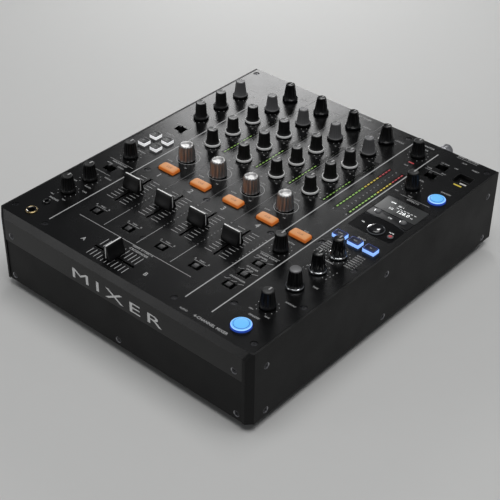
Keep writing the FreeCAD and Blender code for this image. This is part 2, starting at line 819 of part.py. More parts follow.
def corner_cutter():
    """A block beyond the inner face of the right front corner's facet."""
    block = doc.addObject("Part::Box", "corner_block")
    block.setExpression("Length", sized("4 * corner_cut"))
    block.setExpression("Width", sized("8 * corner_cut"))
    block.setExpression("Height", sized(THROUGH))
    return put(block,
               "body_width / 2 - corner_cut / 2 - (skin + seam + 4 * corner_cut) / sqrt(2)",
               "corner_cut / 2 - body_depth / 2 + (skin + seam - 4 * corner_cut) / sqrt(2)",
               "0", ((0, 0, 1), -45))


def mirrored(name, source):
    """The left-hand twin of a right-hand piece."""
    twin = doc.addObject("Part::Mirroring", name)
    twin.Source = source
    twin.Normal = FreeCAD.Vector(1, 0, 0)
    return twin


corners = [corner_cutter()]
corners.append(mirrored("corner_block_left", corners[0]))
INNER_WIDE = "body_width - 2 * skin - 2 * seam"
FRONT_FACE = "0 - body_depth / 2"
LOWER_FACE = FRONT_FACE + " + front_setback"

# screws: the cover's over the board's posts, the cover's round its edge, the front, the sides
POSTS = (("-102", "-43.5"), ("-22", "-43.5"), ("59", "-43.5"), ("103", "-23"), ("-22.5", "-128"),
         ("102.5", "-143"), ("-107", "-173"), ("59", "-172"))
SIDE = "body_width / 2 - 8"
EDGES = (("0 - (%s)" % SIDE, "body_depth / 2 - 9"), ("56", "body_depth / 2 - 8"),
         ("0 - (%s)" % SIDE, "17 - body_depth / 2"), (SIDE + " - 2", "16 - body_depth / 2"),
         (SIDE + " - 1", "-108"), (SIDE + " - 1", "-38"), (SIDE, "body_depth / 2 - 9"))
top_holes = [screw_at(x, y, PANEL_TOP) for x, y in POSTS + EDGES]
flange_holes = [screw_at(side + " (body_width / 2 - flange_screw_inset)", FRONT_FACE,
                         "body_height - flange_screw_drop", FRONT) for side in ("0 -", "0 +")]
TRAY_SCREW = "tray_wall - tray_screw_drop"
lower_holes = [screw_at(x, LOWER_FACE, TRAY_SCREW, FRONT)
               for x in ("lower_screw_inset - body_width / 2", "0",
                         "body_width / 2 - lower_screw_inset")]
SIDE_SCREWS = [(y, z) for y in ("side_screw_front - body_depth / 2", "side_screw_middle",
                                "body_depth / 2 - side_screw_rear")
               for z in (TRAY_SCREW, "body_height - side_screw_drop")]
side_holes = [screw_at("body_width / 2", y, z, RIGHT) for y, z in SIDE_SCREWS]
left_holes = [screw_at("0 - body_width / 2", y, z, LEFT) for y, z in SIDE_SCREWS]
finish("case_screws", screws)

cover = new_body("cover_sheet")
pad(cover, outline(cover, "YZ_Plane", "cover_profile", [
    (REAR, "body_height"),
    (FRONT_FACE + " + lip_run", "body_height"),
    (FRONT_FACE, "body_height - lip_drop"),
    (FRONT_FACE, "body_height - cover_front"),
    (FRONT_FACE + " + skin", "body_height - cover_front"),
    (FRONT_FACE + " + skin", "body_height - lip_drop - skin / 4"),
    (FRONT_FACE + " + lip_run + skin / 2", "body_height - skin"),
    (REAR, "body_height - skin"),
]), INNER_WIDE, middle=True)
finish("control_panel", [cut("cover", cover, corners + panel_holes + top_holes + flange_holes)])

front_sheet = box("front_sheet", INNER_WIDE, "skin", "body_height - cover_front - seam", "0",
                  LOWER_FACE + " + skin / 2")
finish("front_panel", [cut("front", front_sheet, corners + lower_holes)])

side = new_body("side_sheet")
pad(side, outline(side, "XY_Plane", "side_profile", [
    ("body_width / 2", REAR),
    ("body_width / 2 - skin", REAR),
    ("body_width / 2 - skin", FRONT_FACE + " + corner_cut + skin * (sqrt(2) - 1)"),
    ("body_width / 2 - corner_cut - skin * sqrt(2)", FRONT_FACE),
    ("body_width / 2 - corner_cut", FRONT_FACE),
    ("body_width / 2", FRONT_FACE + " + corner_cut"),
]), "body_height")
lip_cut = new_body("lip_cut")
pad(lip_cut, outline(lip_cut, "YZ_Plane", "lip_cut_profile", [
    (FRONT_FACE + " + lip_run", "body_height"),
    (FRONT_FACE + " - skin", "body_height - lip_drop - skin * lip_drop / lip_run"),
    (FRONT_FACE + " - skin", "body_height + skin"),
    (FRONT_FACE + " + lip_run", "body_height + skin"),
]), "2 * body_width", middle=True)
right_side = cut("right_side", side, [lip_cut] + side_holes)
finish("side_panels", [right_side, mirrored("left_side", right_side)])

rear_sheet = box("rear_sheet", INNER_WIDE, "skin", "body_height - skin - seam", "0",
                 REAR + " - skin / 2")
finish("rear_panel", [cut("rear", rear_sheet, rear_holes)])

tray_long = "body_depth - front_setback - 2 * skin - 2 * seam"
tray_block = box("tray_block", INNER_WIDE, tray_long, "tray_wall", "0", "front_setback / 2")
tray_room = box("tray_room", INNER_WIDE + " - 2 * skin", tray_long + " - 2 * skin", "tray_wall",
                "0", "front_setback / 2", "skin")
vents = [box("vent_%d" % number, "vent_long", "vent_wide", "4 * skin", "vent_x",
             "vent_first + %d * vent_pitch" % number) for number in range(10)]
finish("bottom_tray", [cut("tray", tray_block, [tray_room] + corners + vents + lower_holes
                           + side_holes + left_holes)])

foot = cone("foot", "foot_radius - foot_taper", "foot_radius", "foot_height", z="0 - foot_height")
finish("feet", [copy_of("foot_%d%d" % (across == "+", along == "+"), foot,
                        "0 %s (body_width / 2 - foot_inset)" % across,
                        "0 %s (body_depth / 2 - foot_inset)" % along)
                for across in "-+" for along in "-+"])


# ---------------------------------------------------------------- inside the case

boards = []
board_wide = "body_width - 2 * board_margin - 2 * skin"
board_long = "body_depth - front_setback - board_front - board_rear"
board = box("board", board_wide, board_long, "board_thick", "0",
            "(front_setback + board_front - board_rear) / 2", BOARD_TOP + " - board_thick")
jack_gap = box("jack_gap", "2 * (phones_ring + jack_room)",
               "mini_y - phones_y + 2 * (phones_ring + jack_room)", THROUGH, "phones_x",
               "(phones_y + mini_y) / 2")
usb_gap = box("usb_gap", "usb_wide + 2 * usb_room", "usb_long + 2 * usb_room", THROUGH,
              "usb_x", "usb_y")
boards.append(cut("control_board", board, [jack_gap, usb_gap]))
for number, (x, y) in enumerate(POSTS, start=1):
    post = cylinder("post_%d" % number, "post_radius", "board_drop - skin", x, y, BOARD_TOP)
    bore = cylinder("post_bore_%d" % number, "screw_shank + screw_fit", "screw_long", x, y,
                    "body_height - screw_long - 2 * screw_sink")
    boards.append(cut("board_post_%d" % number, post, [bore]))
boards.append(box("lcd_module", "display_wide - 2 * lcd_margin", "lcd_long",
                  "board_drop - skin", "display_x",
                  "display_y + (display_long - lcd_long) / 2 - lcd_margin", BOARD_TOP))
boards.append(box("main_board", "main_wide", "main_long", "board_thick", "main_x", "main_y",
                  "skin + standoff_tall"))
for across in "-+":
    for along in "-+":
        boards.append(cylinder("standoff_%d%d" % (across == "+", along == "+"), "post_radius",
                               "standoff_tall",
                               "main_x %s (main_wide / 2 - main_corner)" % across,
                               "main_y %s (main_long / 2 - main_corner)" % along, "skin"))
boards.append(box("jack_board", "7 * rca_pitch + 2 * jack_board_margin", "board_thick",
                  "rca_rise + 2 * jack_board_margin", "rca_first + 3.5 * rca_pitch",
                  REAR + " - skin - rca_behind - board_thick / 2",
                  "rca_low - jack_board_margin"))
finish("circuit_boards", boards)
finish("power_supply", [box("supply_case", "supply_wide", "supply_long", "supply_tall",
                            "supply_inset + (supply_wide - body_width) / 2", "supply_y",
                            "skin")])
finish("pots_and_switches", modules)


# ---------------------------------------------------------------- checks and files

doc.recompute()
broken = [item.Name for item in doc.Objects
          if "Invalid" in item.State or "Error" in item.State]
broken += [node.Name for node in nodes if node.Shape.isNull() or not node.Shape.isValid()]
if broken:
    raise SystemExit("these objects did not build: " + ", ".join(broken))

os.makedirs("parts", exist_ok=True)
for node in nodes:
    node.Shape.exportStep(os.path.join("parts", node.Label + ".step"))
print("%d nodes written" % len(nodes))
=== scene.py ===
"""Looks of the four-channel DJ mixer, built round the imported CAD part.

Shapes are written in millimetres. "Panel" coordinates are x to the player's right, y to the
back and z up, from the middle of the control panel's top face.
"""

import math

import bpy
from mathutils import Matrix, Vector


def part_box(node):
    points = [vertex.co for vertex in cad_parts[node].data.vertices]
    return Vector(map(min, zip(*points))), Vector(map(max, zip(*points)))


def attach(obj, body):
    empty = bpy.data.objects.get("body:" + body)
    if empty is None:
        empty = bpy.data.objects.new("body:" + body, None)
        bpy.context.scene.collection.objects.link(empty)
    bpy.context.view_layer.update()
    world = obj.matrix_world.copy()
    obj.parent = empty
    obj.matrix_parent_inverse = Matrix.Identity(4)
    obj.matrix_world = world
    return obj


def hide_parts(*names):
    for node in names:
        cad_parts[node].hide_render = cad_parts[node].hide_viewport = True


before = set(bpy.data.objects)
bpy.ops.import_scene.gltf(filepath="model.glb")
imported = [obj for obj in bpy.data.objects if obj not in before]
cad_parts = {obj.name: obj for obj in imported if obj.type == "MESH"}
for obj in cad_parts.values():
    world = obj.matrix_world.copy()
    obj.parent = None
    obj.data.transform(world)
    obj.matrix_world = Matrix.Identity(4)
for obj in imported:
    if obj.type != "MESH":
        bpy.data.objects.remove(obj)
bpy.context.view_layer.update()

MM = 0.001
TAU = 2 * math.pi
panel_low, panel_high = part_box("control_panel")
TOP = panel_high.z
MIDDLE_Y = (panel_low.y + panel_high.y) / 2
FRONT_Y = panel_low.y
REAR_Y = panel_high.y

FACING = {
    "up": Matrix(((1, 0, 0), (0, 1, 0), (0, 0, 1))),
    "front": Matrix(((1, 0, 0), (0, 0, -1), (0, 1, 0))),
    "back": Matrix(((-1, 0, 0), (0, 0, 1), (0, 1, 0))),
    "right": Matrix(((0, 0, 1), (1, 0, 0), (0, 1, 0))),
    "left": Matrix(((0, 0, -1), (-1, 0, 0), (0, 1, 0))),
}


def place(point, facing="up", turn=0.0):
    """Millimetres about a point in metres, with local z pointing where the face does."""
    scale = Matrix.Diagonal((MM, MM, MM, 1))
    return (Matrix.Translation(point) @ FACING[facing].to_4x4()
            @ Matrix.Rotation(math.radians(turn), 4, "Z") @ scale)


def on_panel(x, y, z=0.0, turn=0.0):
    return place(Vector((x * MM, MIDDLE_Y + y * MM, TOP + z * MM)), "up", turn)


# ------------------------------------------------------------------ rings and skins

def moved(rings, x, y):
    """Rings shifted sideways."""
    return [[(px + x, py + y, pz) for px, py, pz in ring] for ring in rings]


def circle(radius, z, count=48, wave=0.0, lobes=1):
    """A ring of points; wave is the depth of the grooves between its lobes."""
    ring = []
    for step in range(count):
        angle = TAU * step / count
        reach = radius - wave * (0.5 - 0.5 * math.cos(lobes * angle))
        ring.append((reach * math.cos(angle), reach * math.sin(angle), z))
    return ring


def rect(wide, long, radius, z, arc=4, x=0.0, y=0.0):
    """A rounded rectangle of points."""
    radius = max(0.02, min(radius, wide / 2 - 0.01, long / 2 - 0.01))
    ring = []
    for corner, (side_x, side_y) in enumerate(((1, 1), (-1, 1), (-1, -1), (1, -1))):
        for step in range(arc + 1):
            angle = math.pi / 2 * (corner + step / arc)
            ring.append((x + side_x * (wide / 2 - radius) + radius * math.cos(angle),
                         y + side_y * (long / 2 - radius) + radius * math.sin(angle), z))
    return ring


def block(wide, long, low, high, radius=0.6, bevel=0.3, arc=4, x=0.0, y=0.0):
    """Rings of a block with rounded corners and a rounded top edge."""
    rings = [rect(wide, long, radius, low, arc, x, y)]
    for share in (0.0, 0.35, 0.7, 1.0):
        inset = bevel * (1 - math.cos(share * math.pi / 2))
        rise = bevel * math.sin(share * math.pi / 2)
        rings.append(rect(wide - 2 * inset, long - 2 * inset, radius - inset,
                          high - bevel + rise, arc, x, y))
    return rings


def lathe(profile, count=48, lobes=1):
    """Rings from (radius, z) or (radius, z, groove depth) points."""
    return [circle(p[0], p[1], count, p[2] if len(p) > 2 else 0.0, lobes) for p in profile]


class Shape:
    """Closed skins gathered into one mesh."""

    def __init__(self):
        self.verts, self.faces, self.slots = [], [], []

    def skin(self, rings, slots=0, matrix=None, closed=False):
        """Quads between neighbouring rings, with a cap at each end or the ends joined."""
        matrix = matrix or Matrix.Diagonal((MM, MM, MM, 1))
        count, first = len(rings[0]), len(self.verts)
        self.verts += [matrix @ Vector(point) for ring in rings for point in ring]
        bands = len(rings) if closed else len(rings) - 1
        per_band = [slots] * bands if isinstance(slots, int) else list(slots)
        per_band += [per_band[-1]] * (bands - len(per_band))
        for band in range(bands):
            low = first + band * count
            high = first + (band + 1) % len(rings) * count
            for step in range(count):
                after = (step + 1) % count
                self.faces.append((low + step, low + after, high + after, high + step))
                self.slots.append(per_band[band])
        if not closed:
            last = first + (len(rings) - 1) * count
            self.faces.append(tuple(range(first + count - 1, first - 1, -1)))
            self.faces.append(tuple(range(last, last + count)))
            self.slots += [per_band[0], per_band[-1]]
        return self

    def ribbon(self, points, width, slot=0, matrix=None, low=-0.03, high=0.04):
        """A thin printed line through (x, y) points."""
        rings = []
        for number, point in enumerate(points):
            before = Vector(points[max(number - 1, 0)])
            after = Vector(points[min(number + 1, len(points) - 1)])
            along = (after - before).normalized()
            side = Vector((-along.y, along.x)) * width / 2
            near, far = Vector(point) - side, Vector(point) + side
            rings.append([(near.x, near.y, low), (near.x, near.y, high),
                          (far.x, far.y, high), (far.x, far.y, low)])
        return self.skin(rings, slot, matrix)

    def ring_line(self, radius, width, slot=0, matrix=None, low=-0.03, high=0.04, count=72):
        """A thin printed circle."""
        return self.skin(lathe([(radius + width / 2, low), (radius + width / 2, high),
                                (radius - width / 2, high), (radius - width / 2, low)], count),
                         slot, matrix, closed=True)

    def dot(self, x, y, radius, slot=0, matrix=None, high=0.04):
        rings = [circle(radius, z, 14) for z in (-0.03, high)]
        return self.skin(moved(rings, x, y), slot, matrix)

    def words(self, text, matrix, size=2.2, slot=0, align="CENTER", thick=0.035, wide=1.0,
              spacing=1.05, bold=0.018):
        """Lettering whose middle is at the matrix's origin."""
        curve = bpy.data.curves.new("words", "FONT")
        curve.body = text
        curve.size = size * 1.42
        curve.align_x = align
        curve.align_y = "CENTER"
        curve.resolution_u = 3
        curve.extrude = thick
        curve.offset = bold * size
        curve.space_character = spacing
        holder = bpy.data.objects.new("words", curve)
        bpy.context.scene.collection.objects.link(holder)
        ready = holder.evaluated_get(bpy.context.evaluated_depsgraph_get())
        mesh = bpy.data.meshes.new_from_object(ready)
        first = len(self.verts)
        stretch = Matrix.Diagonal((wide, 1, 1, 1))
        self.verts += [matrix @ stretch @ vertex.co for vertex in mesh.vertices]
        for polygon in mesh.polygons:
            self.faces.append(tuple(first + v for v in polygon.vertices))
            self.slots.append(slot)
        bpy.data.objects.remove(holder)
        bpy.data.curves.remove(curve)
        bpy.data.meshes.remove(mesh)
        return self

    def mesh(self, name, materials, sharp=32):
        mesh = bpy.data.meshes.new(name)
        mesh.from_pydata(self.verts, [], self.faces)
        for material in materials:
            mesh.materials.append(material)
        mesh.polygons.foreach_set("material_index", self.slots)
        mesh.polygons.foreach_set("use_smooth", [True] * len(self.faces))
        mesh.set_sharp_from_angle(angle=math.radians(sharp))
        mesh.update()
        return mesh


def show(name, mesh, body, stands_for=(), location=None):
    """Put a mesh in the scene, on its CAD body."""
    item = bpy.data.objects.new(name, mesh)
    if location is not None:
        item.location = location
    bpy.context.scene.collection.objects.link(item)
    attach(item, body)
    if stands_for:
        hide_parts(*stands_for)
    return item


def islands(node):
    """Boxes of a CAD node's separate solids, from front left to back right."""
    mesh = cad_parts[node].data
    parent = list(range(len(mesh.vertices)))

    def root(index):
        while parent[index] != index:
            parent[index] = parent[parent[index]]
            index = parent[index]
        return index

    first_at = {}
    for vertex in mesh.vertices:
        key = tuple(round(c * 1e5) for c in vertex.co)
        parent[root(vertex.index)] = root(first_at.setdefault(key, vertex.index))
    for edge in mesh.edges:
        parent[root(edge.vertices[0])] = root(edge.vertices[1])
    groups = {}
    for vertex in mesh.vertices:
        groups.setdefault(root(vertex.index), []).append(vertex.co)
    boxes = [(Vector(map(min, zip(*points))), Vector(map(max, zip(*points))))
             for points in groups.values()]
    return sorted(boxes, key=lambda b: (round(b[0].y, 4), round(b[0].x, 4), round(b[0].z, 4)))


def middle(box):
    return (box[0] + box[1]) / 2


def sides(box):
    """Width, depth and height of a box in millimetres."""
    return (box[1] - box[0]) / MM


# ------------------------------------------------------------------ materials

FINE_SHARE = 0.4
COAT_ROUGHNESS = 0.08


def shader_node(nodes, kind, values, operation=None):
    """A shader node with the given input values."""
    made = nodes.new("ShaderNode" + kind)
    if operation:
        made.operation = operation
    for socket, value in values.items():
        made.inputs[socket].default_value = value
    return made


def surface(name, colour, roughness, metallic=0.0, grain=2500.0, depth=0.00002, mottle=0.25,
            spread=0.10, specular=0.5, edge_wear_and_highlight=0.0, edge_wear_and_highlight_colour=(0.2, 0.2, 0.2), glow=None,
            strength=0.0, coat=0.0, stretch=(1, 1, 1), patch=35.0):
    """A procedural finish: uneven colour, grain in roughness and bump, and lightened edges, which
    are scuffing on the case and panel and a painted highlight on the screws.
    """
    material = bpy.data.materials.new(name)
    material.use_nodes = True
    nodes, link = material.node_tree.nodes, material.node_tree.links.new
    shader = nodes["Principled BSDF"]
    finish = {"Metallic": metallic, "Specular IOR Level": specular, "Coat Weight": coat,
              "Coat Roughness": COAT_ROUGHNESS}
    if glow:
        finish.update({"Emission Color": (*glow, 1), "Emission Strength": strength})
    for socket, value in finish.items():
        shader.inputs[socket].default_value = value
    place_in = nodes.new("ShaderNodeTexCoord")
    mapping = shader_node(nodes, "Mapping", {"Scale": stretch})
    link(place_in.outputs["Object"], mapping.inputs["Vector"])
    fine = shader_node(nodes, "TexNoise", {"Scale": grain, "Detail": 3})
    coarse = shader_node(nodes, "TexNoise", {"Scale": patch, "Detail": 4})
    for noise in (fine, coarse):
        link(mapping.outputs["Vector"], noise.inputs["Vector"])
    shade = shader_node(nodes, "Math", {1: FINE_SHARE}, "MULTIPLY")
    blend = shader_node(nodes, "Math", {1: 1 - FINE_SHARE}, "MULTIPLY_ADD")
    link(fine.outputs["Fac"], shade.inputs[0])
    link(coarse.outputs["Fac"], blend.inputs[0])
    link(shade.outputs[0], blend.inputs[2])
    tint = nodes.new("ShaderNodeMix")
    tint.data_type = "RGBA"
    tint.inputs["A"].default_value = (*[c * (1 - mottle) for c in colour], 1)
    tint.inputs["B"].default_value = (*[min(c * (1 + mottle), 1) for c in colour], 1)
    link(blend.outputs[0], tint.inputs["Factor"])
    rough = shader_node(nodes, "MapRange", {
        "From Min": 0.3, "From Max": 0.7, "To Min": max(roughness - spread, 0.02),
        "To Max": min(roughness + spread, 1.0)})
    link(blend.outputs[0], rough.inputs["Value"])
    link(rough.outputs["Result"], shader.inputs["Roughness"])
    bump = shader_node(nodes, "Bump", {"Strength": 0.6, "Distance": depth})
    link(fine.outputs["Fac"], bump.inputs["Height"])
    link(bump.outputs["Normal"], shader.inputs["Normal"])
    outcome = tint.outputs["Result"]
    # lightened edges: scuffing on the case and panel, a painted highlight on the screw heads
    if edge_wear_and_highlight:
        outcome = worn(nodes, link, outcome, coarse.outputs["Fac"], edge_wear_and_highlight, edge_wear_and_highlight_colour)
    link(outcome, shader.inputs["Base Color"])
    return material


def worn(nodes, link, colour, patches, amount, edge_wear_and_highlight_colour):
    """Lighten the rounded edges, more in some places than in others: scuffing on the case and
    panel, a painted highlight on the screw heads.
    """
    rounded = shader_node(nodes, "Bevel", {"Radius": 0.0006})
    rounded.samples = 4
    geometry = nodes.new("ShaderNodeNewGeometry")
    compare = shader_node(nodes, "VectorMath", {}, "DOT_PRODUCT")
    link(rounded.outputs["Normal"], compare.inputs[0])
    link(geometry.outputs["Normal"], compare.inputs[1])
    edge = shader_node(nodes, "MapRange", {"From Min": 0.98, "From Max": 0.75, "To Max": amount})
    link(compare.outputs["Value"], edge.inputs["Value"])
    uneven = shader_node(nodes, "Math", {}, "MULTIPLY")
    link(edge.outputs["Result"], uneven.inputs[0])
    link(patches, uneven.inputs[1])
    mix = nodes.new("ShaderNodeMix")
    mix.data_type = "RGBA"
    link(uneven.outputs[0], mix.inputs["Factor"])
    link(colour, mix.inputs["A"])
    mix.inputs["B"].default_value = (*edge_wear_and_highlight_colour, 1)
    return mix.outputs["Result"]


PANEL = surface("panel_satin", (0.0036, 0.0036, 0.0038), 0.26, grain=2600, depth=0.00002,
                mottle=0.2, spread=0.03, specular=0.3, edge_wear_and_highlight=0.6, edge_wear_and_highlight_colour=(0.07, 0.07, 0.07))
CASE = surface("case_powder_coat", (0.0045, 0.0045, 0.0047), 0.52, grain=1500, depth=0.00005,
               mottle=0.22, spread=0.07, specular=0.2, edge_wear_and_highlight=0.7, edge_wear_and_highlight_colour=(0.06, 0.06, 0.06))
BLACK = surface("black_moulding", (0.0045, 0.0045, 0.0048), 0.36, grain=3500, depth=0.00001,
                specular=0.38, spread=0.07)
SOFT_BLACK = surface("black_rubber_grip", (0.0065, 0.0065, 0.0065), 0.45, grain=5000,
                     depth=0.000012, specular=0.4, spread=0.08)
GLOSS = surface("black_gloss", (0.004, 0.004, 0.005), 0.12, grain=900, depth=0.000002,
                spread=0.04, coat=0.4)
RUBBER = surface("foot_rubber", (0.012, 0.012, 0.012), 0.8, grain=1800, depth=0.00008)
GREY = surface("grey_grip", (0.11, 0.11, 0.113), 0.45, grain=4500, depth=0.00001, mottle=0.12)
PALE_RING = surface("pale_skirt", (0.82, 0.82, 0.81), 0.28, grain=3000, depth=0.000004,
                    mottle=0.06, spread=0.05, coat=0.3)
SILVER = surface("turned_aluminium", (0.50, 0.495, 0.49), 0.42, metallic=1.0, grain=900,
                 depth=0.000012, mottle=0.12, spread=0.08, stretch=(1, 1, 9))
CHROME = surface("chrome", (0.72, 0.73, 0.75), 0.12, metallic=1.0, grain=1200,
                 depth=0.000002, mottle=0.06, spread=0.05)
STEEL = surface("zinc_steel", (0.42, 0.42, 0.44), 0.35, metallic=1.0, grain=1400,
                depth=0.00001, mottle=0.2)
# the strongly lightened edges of this finish are a painted highlight on the screw heads
DARK_STEEL = surface("black_oxide_steel", (0.045, 0.045, 0.05), 0.36, metallic=0.9,
                     grain=2200, depth=0.00001, mottle=0.35, edge_wear_and_highlight=0.8,
                     edge_wear_and_highlight_colour=(0.35, 0.35, 0.35))
GOLD = surface("gold_plate", (0.34, 0.26, 0.13), 0.32, metallic=1.0, grain=1500,
               depth=0.000004, mottle=0.1)
INK = surface("white_ink", (0.42, 0.42, 0.42), 0.6, grain=5000, depth=0.000003, mottle=0.1)
FAINT_INK = surface("grey_ink", (0.16, 0.16, 0.16), 0.6, grain=5000, depth=0.000003,
                    mottle=0.12)
BRIGHT_INK = surface("bright_ink", (0.80, 0.80, 0.80), 0.5, grain=5000, depth=0.000003,
                     mottle=0.06)
LENS = {"grain": 1800, "specular": 0.3}
LED = {"grain": 3000, "mottle": 0.1, "specular": 0.2}
AMBER = surface("amber_lens_face", (0.40, 0.17, 0.055), 0.4, mottle=0.08,
                glow=(1.0, 0.44, 0.16), strength=0.26, **LENS)
AMBER_EDGE = surface("amber_lens_edge", (0.42, 0.10, 0.015), 0.35, mottle=0.15,
                     glow=(0.9, 0.24, 0.04), strength=0.26, **LENS)
AMBER_INK = surface("brown_ink", (0.30, 0.09, 0.02), 0.5, grain=4000, mottle=0.1)
BLUE = surface("blue_lens_face", (0.09, 0.32, 0.62), 0.4, mottle=0.08,
               glow=(0.16, 0.56, 1.0), strength=0.48, **LENS)
BLUE_EDGE = surface("blue_lens_edge", (0.02, 0.07, 0.42), 0.35, mottle=0.15,
                    glow=(0.03, 0.10, 0.62), strength=0.35, **LENS)
BLUE_SKIRT = surface("blue_lit_skirt", (0.25, 0.42, 0.8), 0.35, mottle=0.1,
                     glow=(0.26, 0.46, 0.95), strength=0.95, **LENS)
BLUE_CAP = surface("blue_black_cap", (0.006, 0.009, 0.028), 0.4, grain=3000, mottle=0.2,
                   specular=0.2)
WHITE_SKIRT = surface("white_lit_skirt", (0.75, 0.75, 0.75), 0.35, grain=1800, mottle=0.05,
                      glow=(0.9, 0.9, 0.92), strength=0.55)
SMOKE = surface("smoked_window", (0.002, 0.002, 0.0025), 0.2, grain=700, depth=0.000001,
                spread=0.03, specular=0.14)
LCD = surface("lcd_glass", (0.022, 0.023, 0.023), 0.3, grain=1500, mottle=0.3, patch=60,
              specular=0.28, glow=(0.30, 0.31, 0.31), strength=0.05)
LCD_LOW = surface("lcd_frame", (0.010, 0.010, 0.011), 0.35, grain=1500, mottle=0.15,
                  specular=0.22)
LCD_INK = surface("lcd_segments", (0.85, 0.86, 0.86), 0.4, grain=2000, mottle=0.05,
                  glow=(0.85, 0.88, 0.88), strength=0.6)
GREEN_LED = surface("green_led", (0.20, 0.32, 0.09), 0.4, glow=(0.30, 0.62, 0.10),
                    strength=0.3, **LED)
YELLOW_LED = surface("yellow_led", (0.40, 0.32, 0.05), 0.4, glow=(0.70, 0.52, 0.06),
                     strength=0.3, **LED)
RED_LED = surface("red_led", (0.28, 0.035, 0.04), 0.4, glow=(0.62, 0.06, 0.07),
                  strength=0.25, **LED)
DARK_LED = surface("unlit_led", (0.022, 0.025, 0.018), 0.4, **LED)
RCA_RED = surface("red_insulator", (0.45, 0.02, 0.02), 0.35, grain=2500, mottle=0.1)
RCA_WHITE = surface("white_insulator", (0.70, 0.69, 0.66), 0.35, grain=2500, mottle=0.06)
BOARD = surface("board_laminate", (0.02, 0.11, 0.045), 0.45, grain=1200, mottle=0.25)
CARD = surface("module_metal", (0.35, 0.35, 0.36), 0.4, metallic=0.9, grain=800, mottle=0.2)


# ------------------------------------------------------------------ the case

def dress(node, material, width=0.0003):
    """Give a CAD node its finish, and round its edges with modifiers."""
    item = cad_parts[node]
    item.data.materials.clear()
    item.data.materials.append(material)
    weld = item.modifiers.new("weld", "WELD")
    weld.merge_threshold = 0.000004
    rounding = item.modifiers.new("rounding", "BEVEL")
    rounding.width = width
    rounding.segments = 2
    rounding.limit_method = "ANGLE"
    rounding.angle_limit = math.radians(40)
    rounding.harden_normals = True


dress("control_panel", PANEL, 0.00035)
dress("front_panel", CASE, 0.0004)
dress("side_panels", CASE, 0.0005)
dress("rear_panel", CASE, 0.0003)
dress("bottom_tray", CASE, 0.0003)
dress("circuit_boards", BOARD, 0.0002)
dress("power_supply", CARD, 0.0004)
dress("pots_and_switches", CARD, 0.0002)


# ------------------------------------------------------------------ feet and screws

feet = Shape()
for foot in islands("feet"):
    wide, _, tall = sides(foot)
    base = middle(foot)
    base.z = foot[0].z
    radius = wide / 2
    feet.skin(lathe([
        (radius - 3.0, 0.8), (radius - 2.6, 0.2), (radius - 2.2, 0.0), (radius - 1.7, 0.0),
        (radius - 1.3, 0.4), (radius - 0.5, tall * 0.6), (radius - 0.8, tall * 0.68),
        (radius - 0.8, tall * 0.78), (radius - 0.15, tall * 0.86), (radius, tall - 0.6),
        (radius, tall)], 64), 0, place(base))
show("rubber_feet", feet.mesh("rubber_feet", [RUBBER]), "chassis", ["feet"])

HEAD_RADIUS = 3.2
HEAD_TALL = 1.1
screws = Shape()
for screw in islands("case_screws"):
    span = sides(screw)
    spot = middle(screw)
    if span.z > span.x:
        facing, spot.z = "up", screw[1].z
    elif span.y > span.x:
        facing, spot.y = "front", screw[0].y
    elif spot.x > 0:
        facing, spot.x = "right", screw[1].x
    else:
        facing, spot.x = "left", screw[0].x
    turn = (spot.x * 31 + spot.y * 17 + spot.z * 23) * 4000 % 90
    screws.skin(lathe([
        (0.6, -7.9), (1.3, -7.2), (1.4, -6.4), (1.4, -HEAD_TALL), (HEAD_RADIUS - 0.15, -0.14),
        (HEAD_RADIUS - 0.05, 0.0), (HEAD_RADIUS - 0.5, 0.10), (2.1, 0.18), (1.75, 0.18)], 48)
        + lathe([(1.6, 0.15, 0.95), (1.4, -0.6, 0.85), (0.9, -0.95, 0.5)], 48, 4),
        0, place(spot, facing, turn))
    if facing != "up":
        screws.skin(lathe([(3.4, 0.0), (3.4, 0.74), (3.3, 0.76), (2.85, 0.22), (2.85, 0.0)], 48),
                    1, place(spot, facing), closed=True)
show("case_screws_black", screws.mesh("case_screws_black", [DARK_STEEL, STEEL]), "chassis",
     ["case_screws"])


# ------------------------------------------------------------------ knobs

RIBS = 24


def knob(skirt, waist, top, tall, ribs=RIBS, groove=0.35, dish=0.15, skirt_tall=2.0):
    """Rings of a knob with its shaft: 3 bands of shaft, 3 of skirt, 5 of grip, then the top."""
    count = ribs * 4
    lift, rise = 0.8, 0.8 + skirt_tall
    plain = [(2.5, -12.3), (3.0, -11.9), (3.0, lift), (skirt - 0.4, lift),
             (skirt, lift + 0.4), (skirt, rise - 0.55), (skirt - 0.25, rise - 0.15),
             (skirt - 0.7, rise), (waist + 0.5, rise + 0.15), (waist + 0.12, rise + 0.7)]
    grip = [(waist, rise + 1.2, groove), (waist * 0.6 + top * 0.4, tall * 0.55, groove),
            (top + 0.1, tall - 1.7, groove), (top, tall - 1.15, groove * 0.4)]
    crown = [(top - 0.12, tall - 0.6), (top - 0.4, tall - 0.2), (top - 0.9, tall),
             (top - 1.5, tall - dish * 0.4), (top - 2.2, tall - dish), (0.6, tall - dish)]
    return lathe(plain + grip + crown, count, ribs)


# a knob's bands from the bottom up: shaft, underside, skirt, grip and crown
SHAFT, SKIRT, GRIP, CROWN, MARK = range(5)
KNOB_SLOTS = [SHAFT] * 2 + [GRIP] + [SKIRT] * 4 + [GRIP] * 6 + [CROWN] * 6


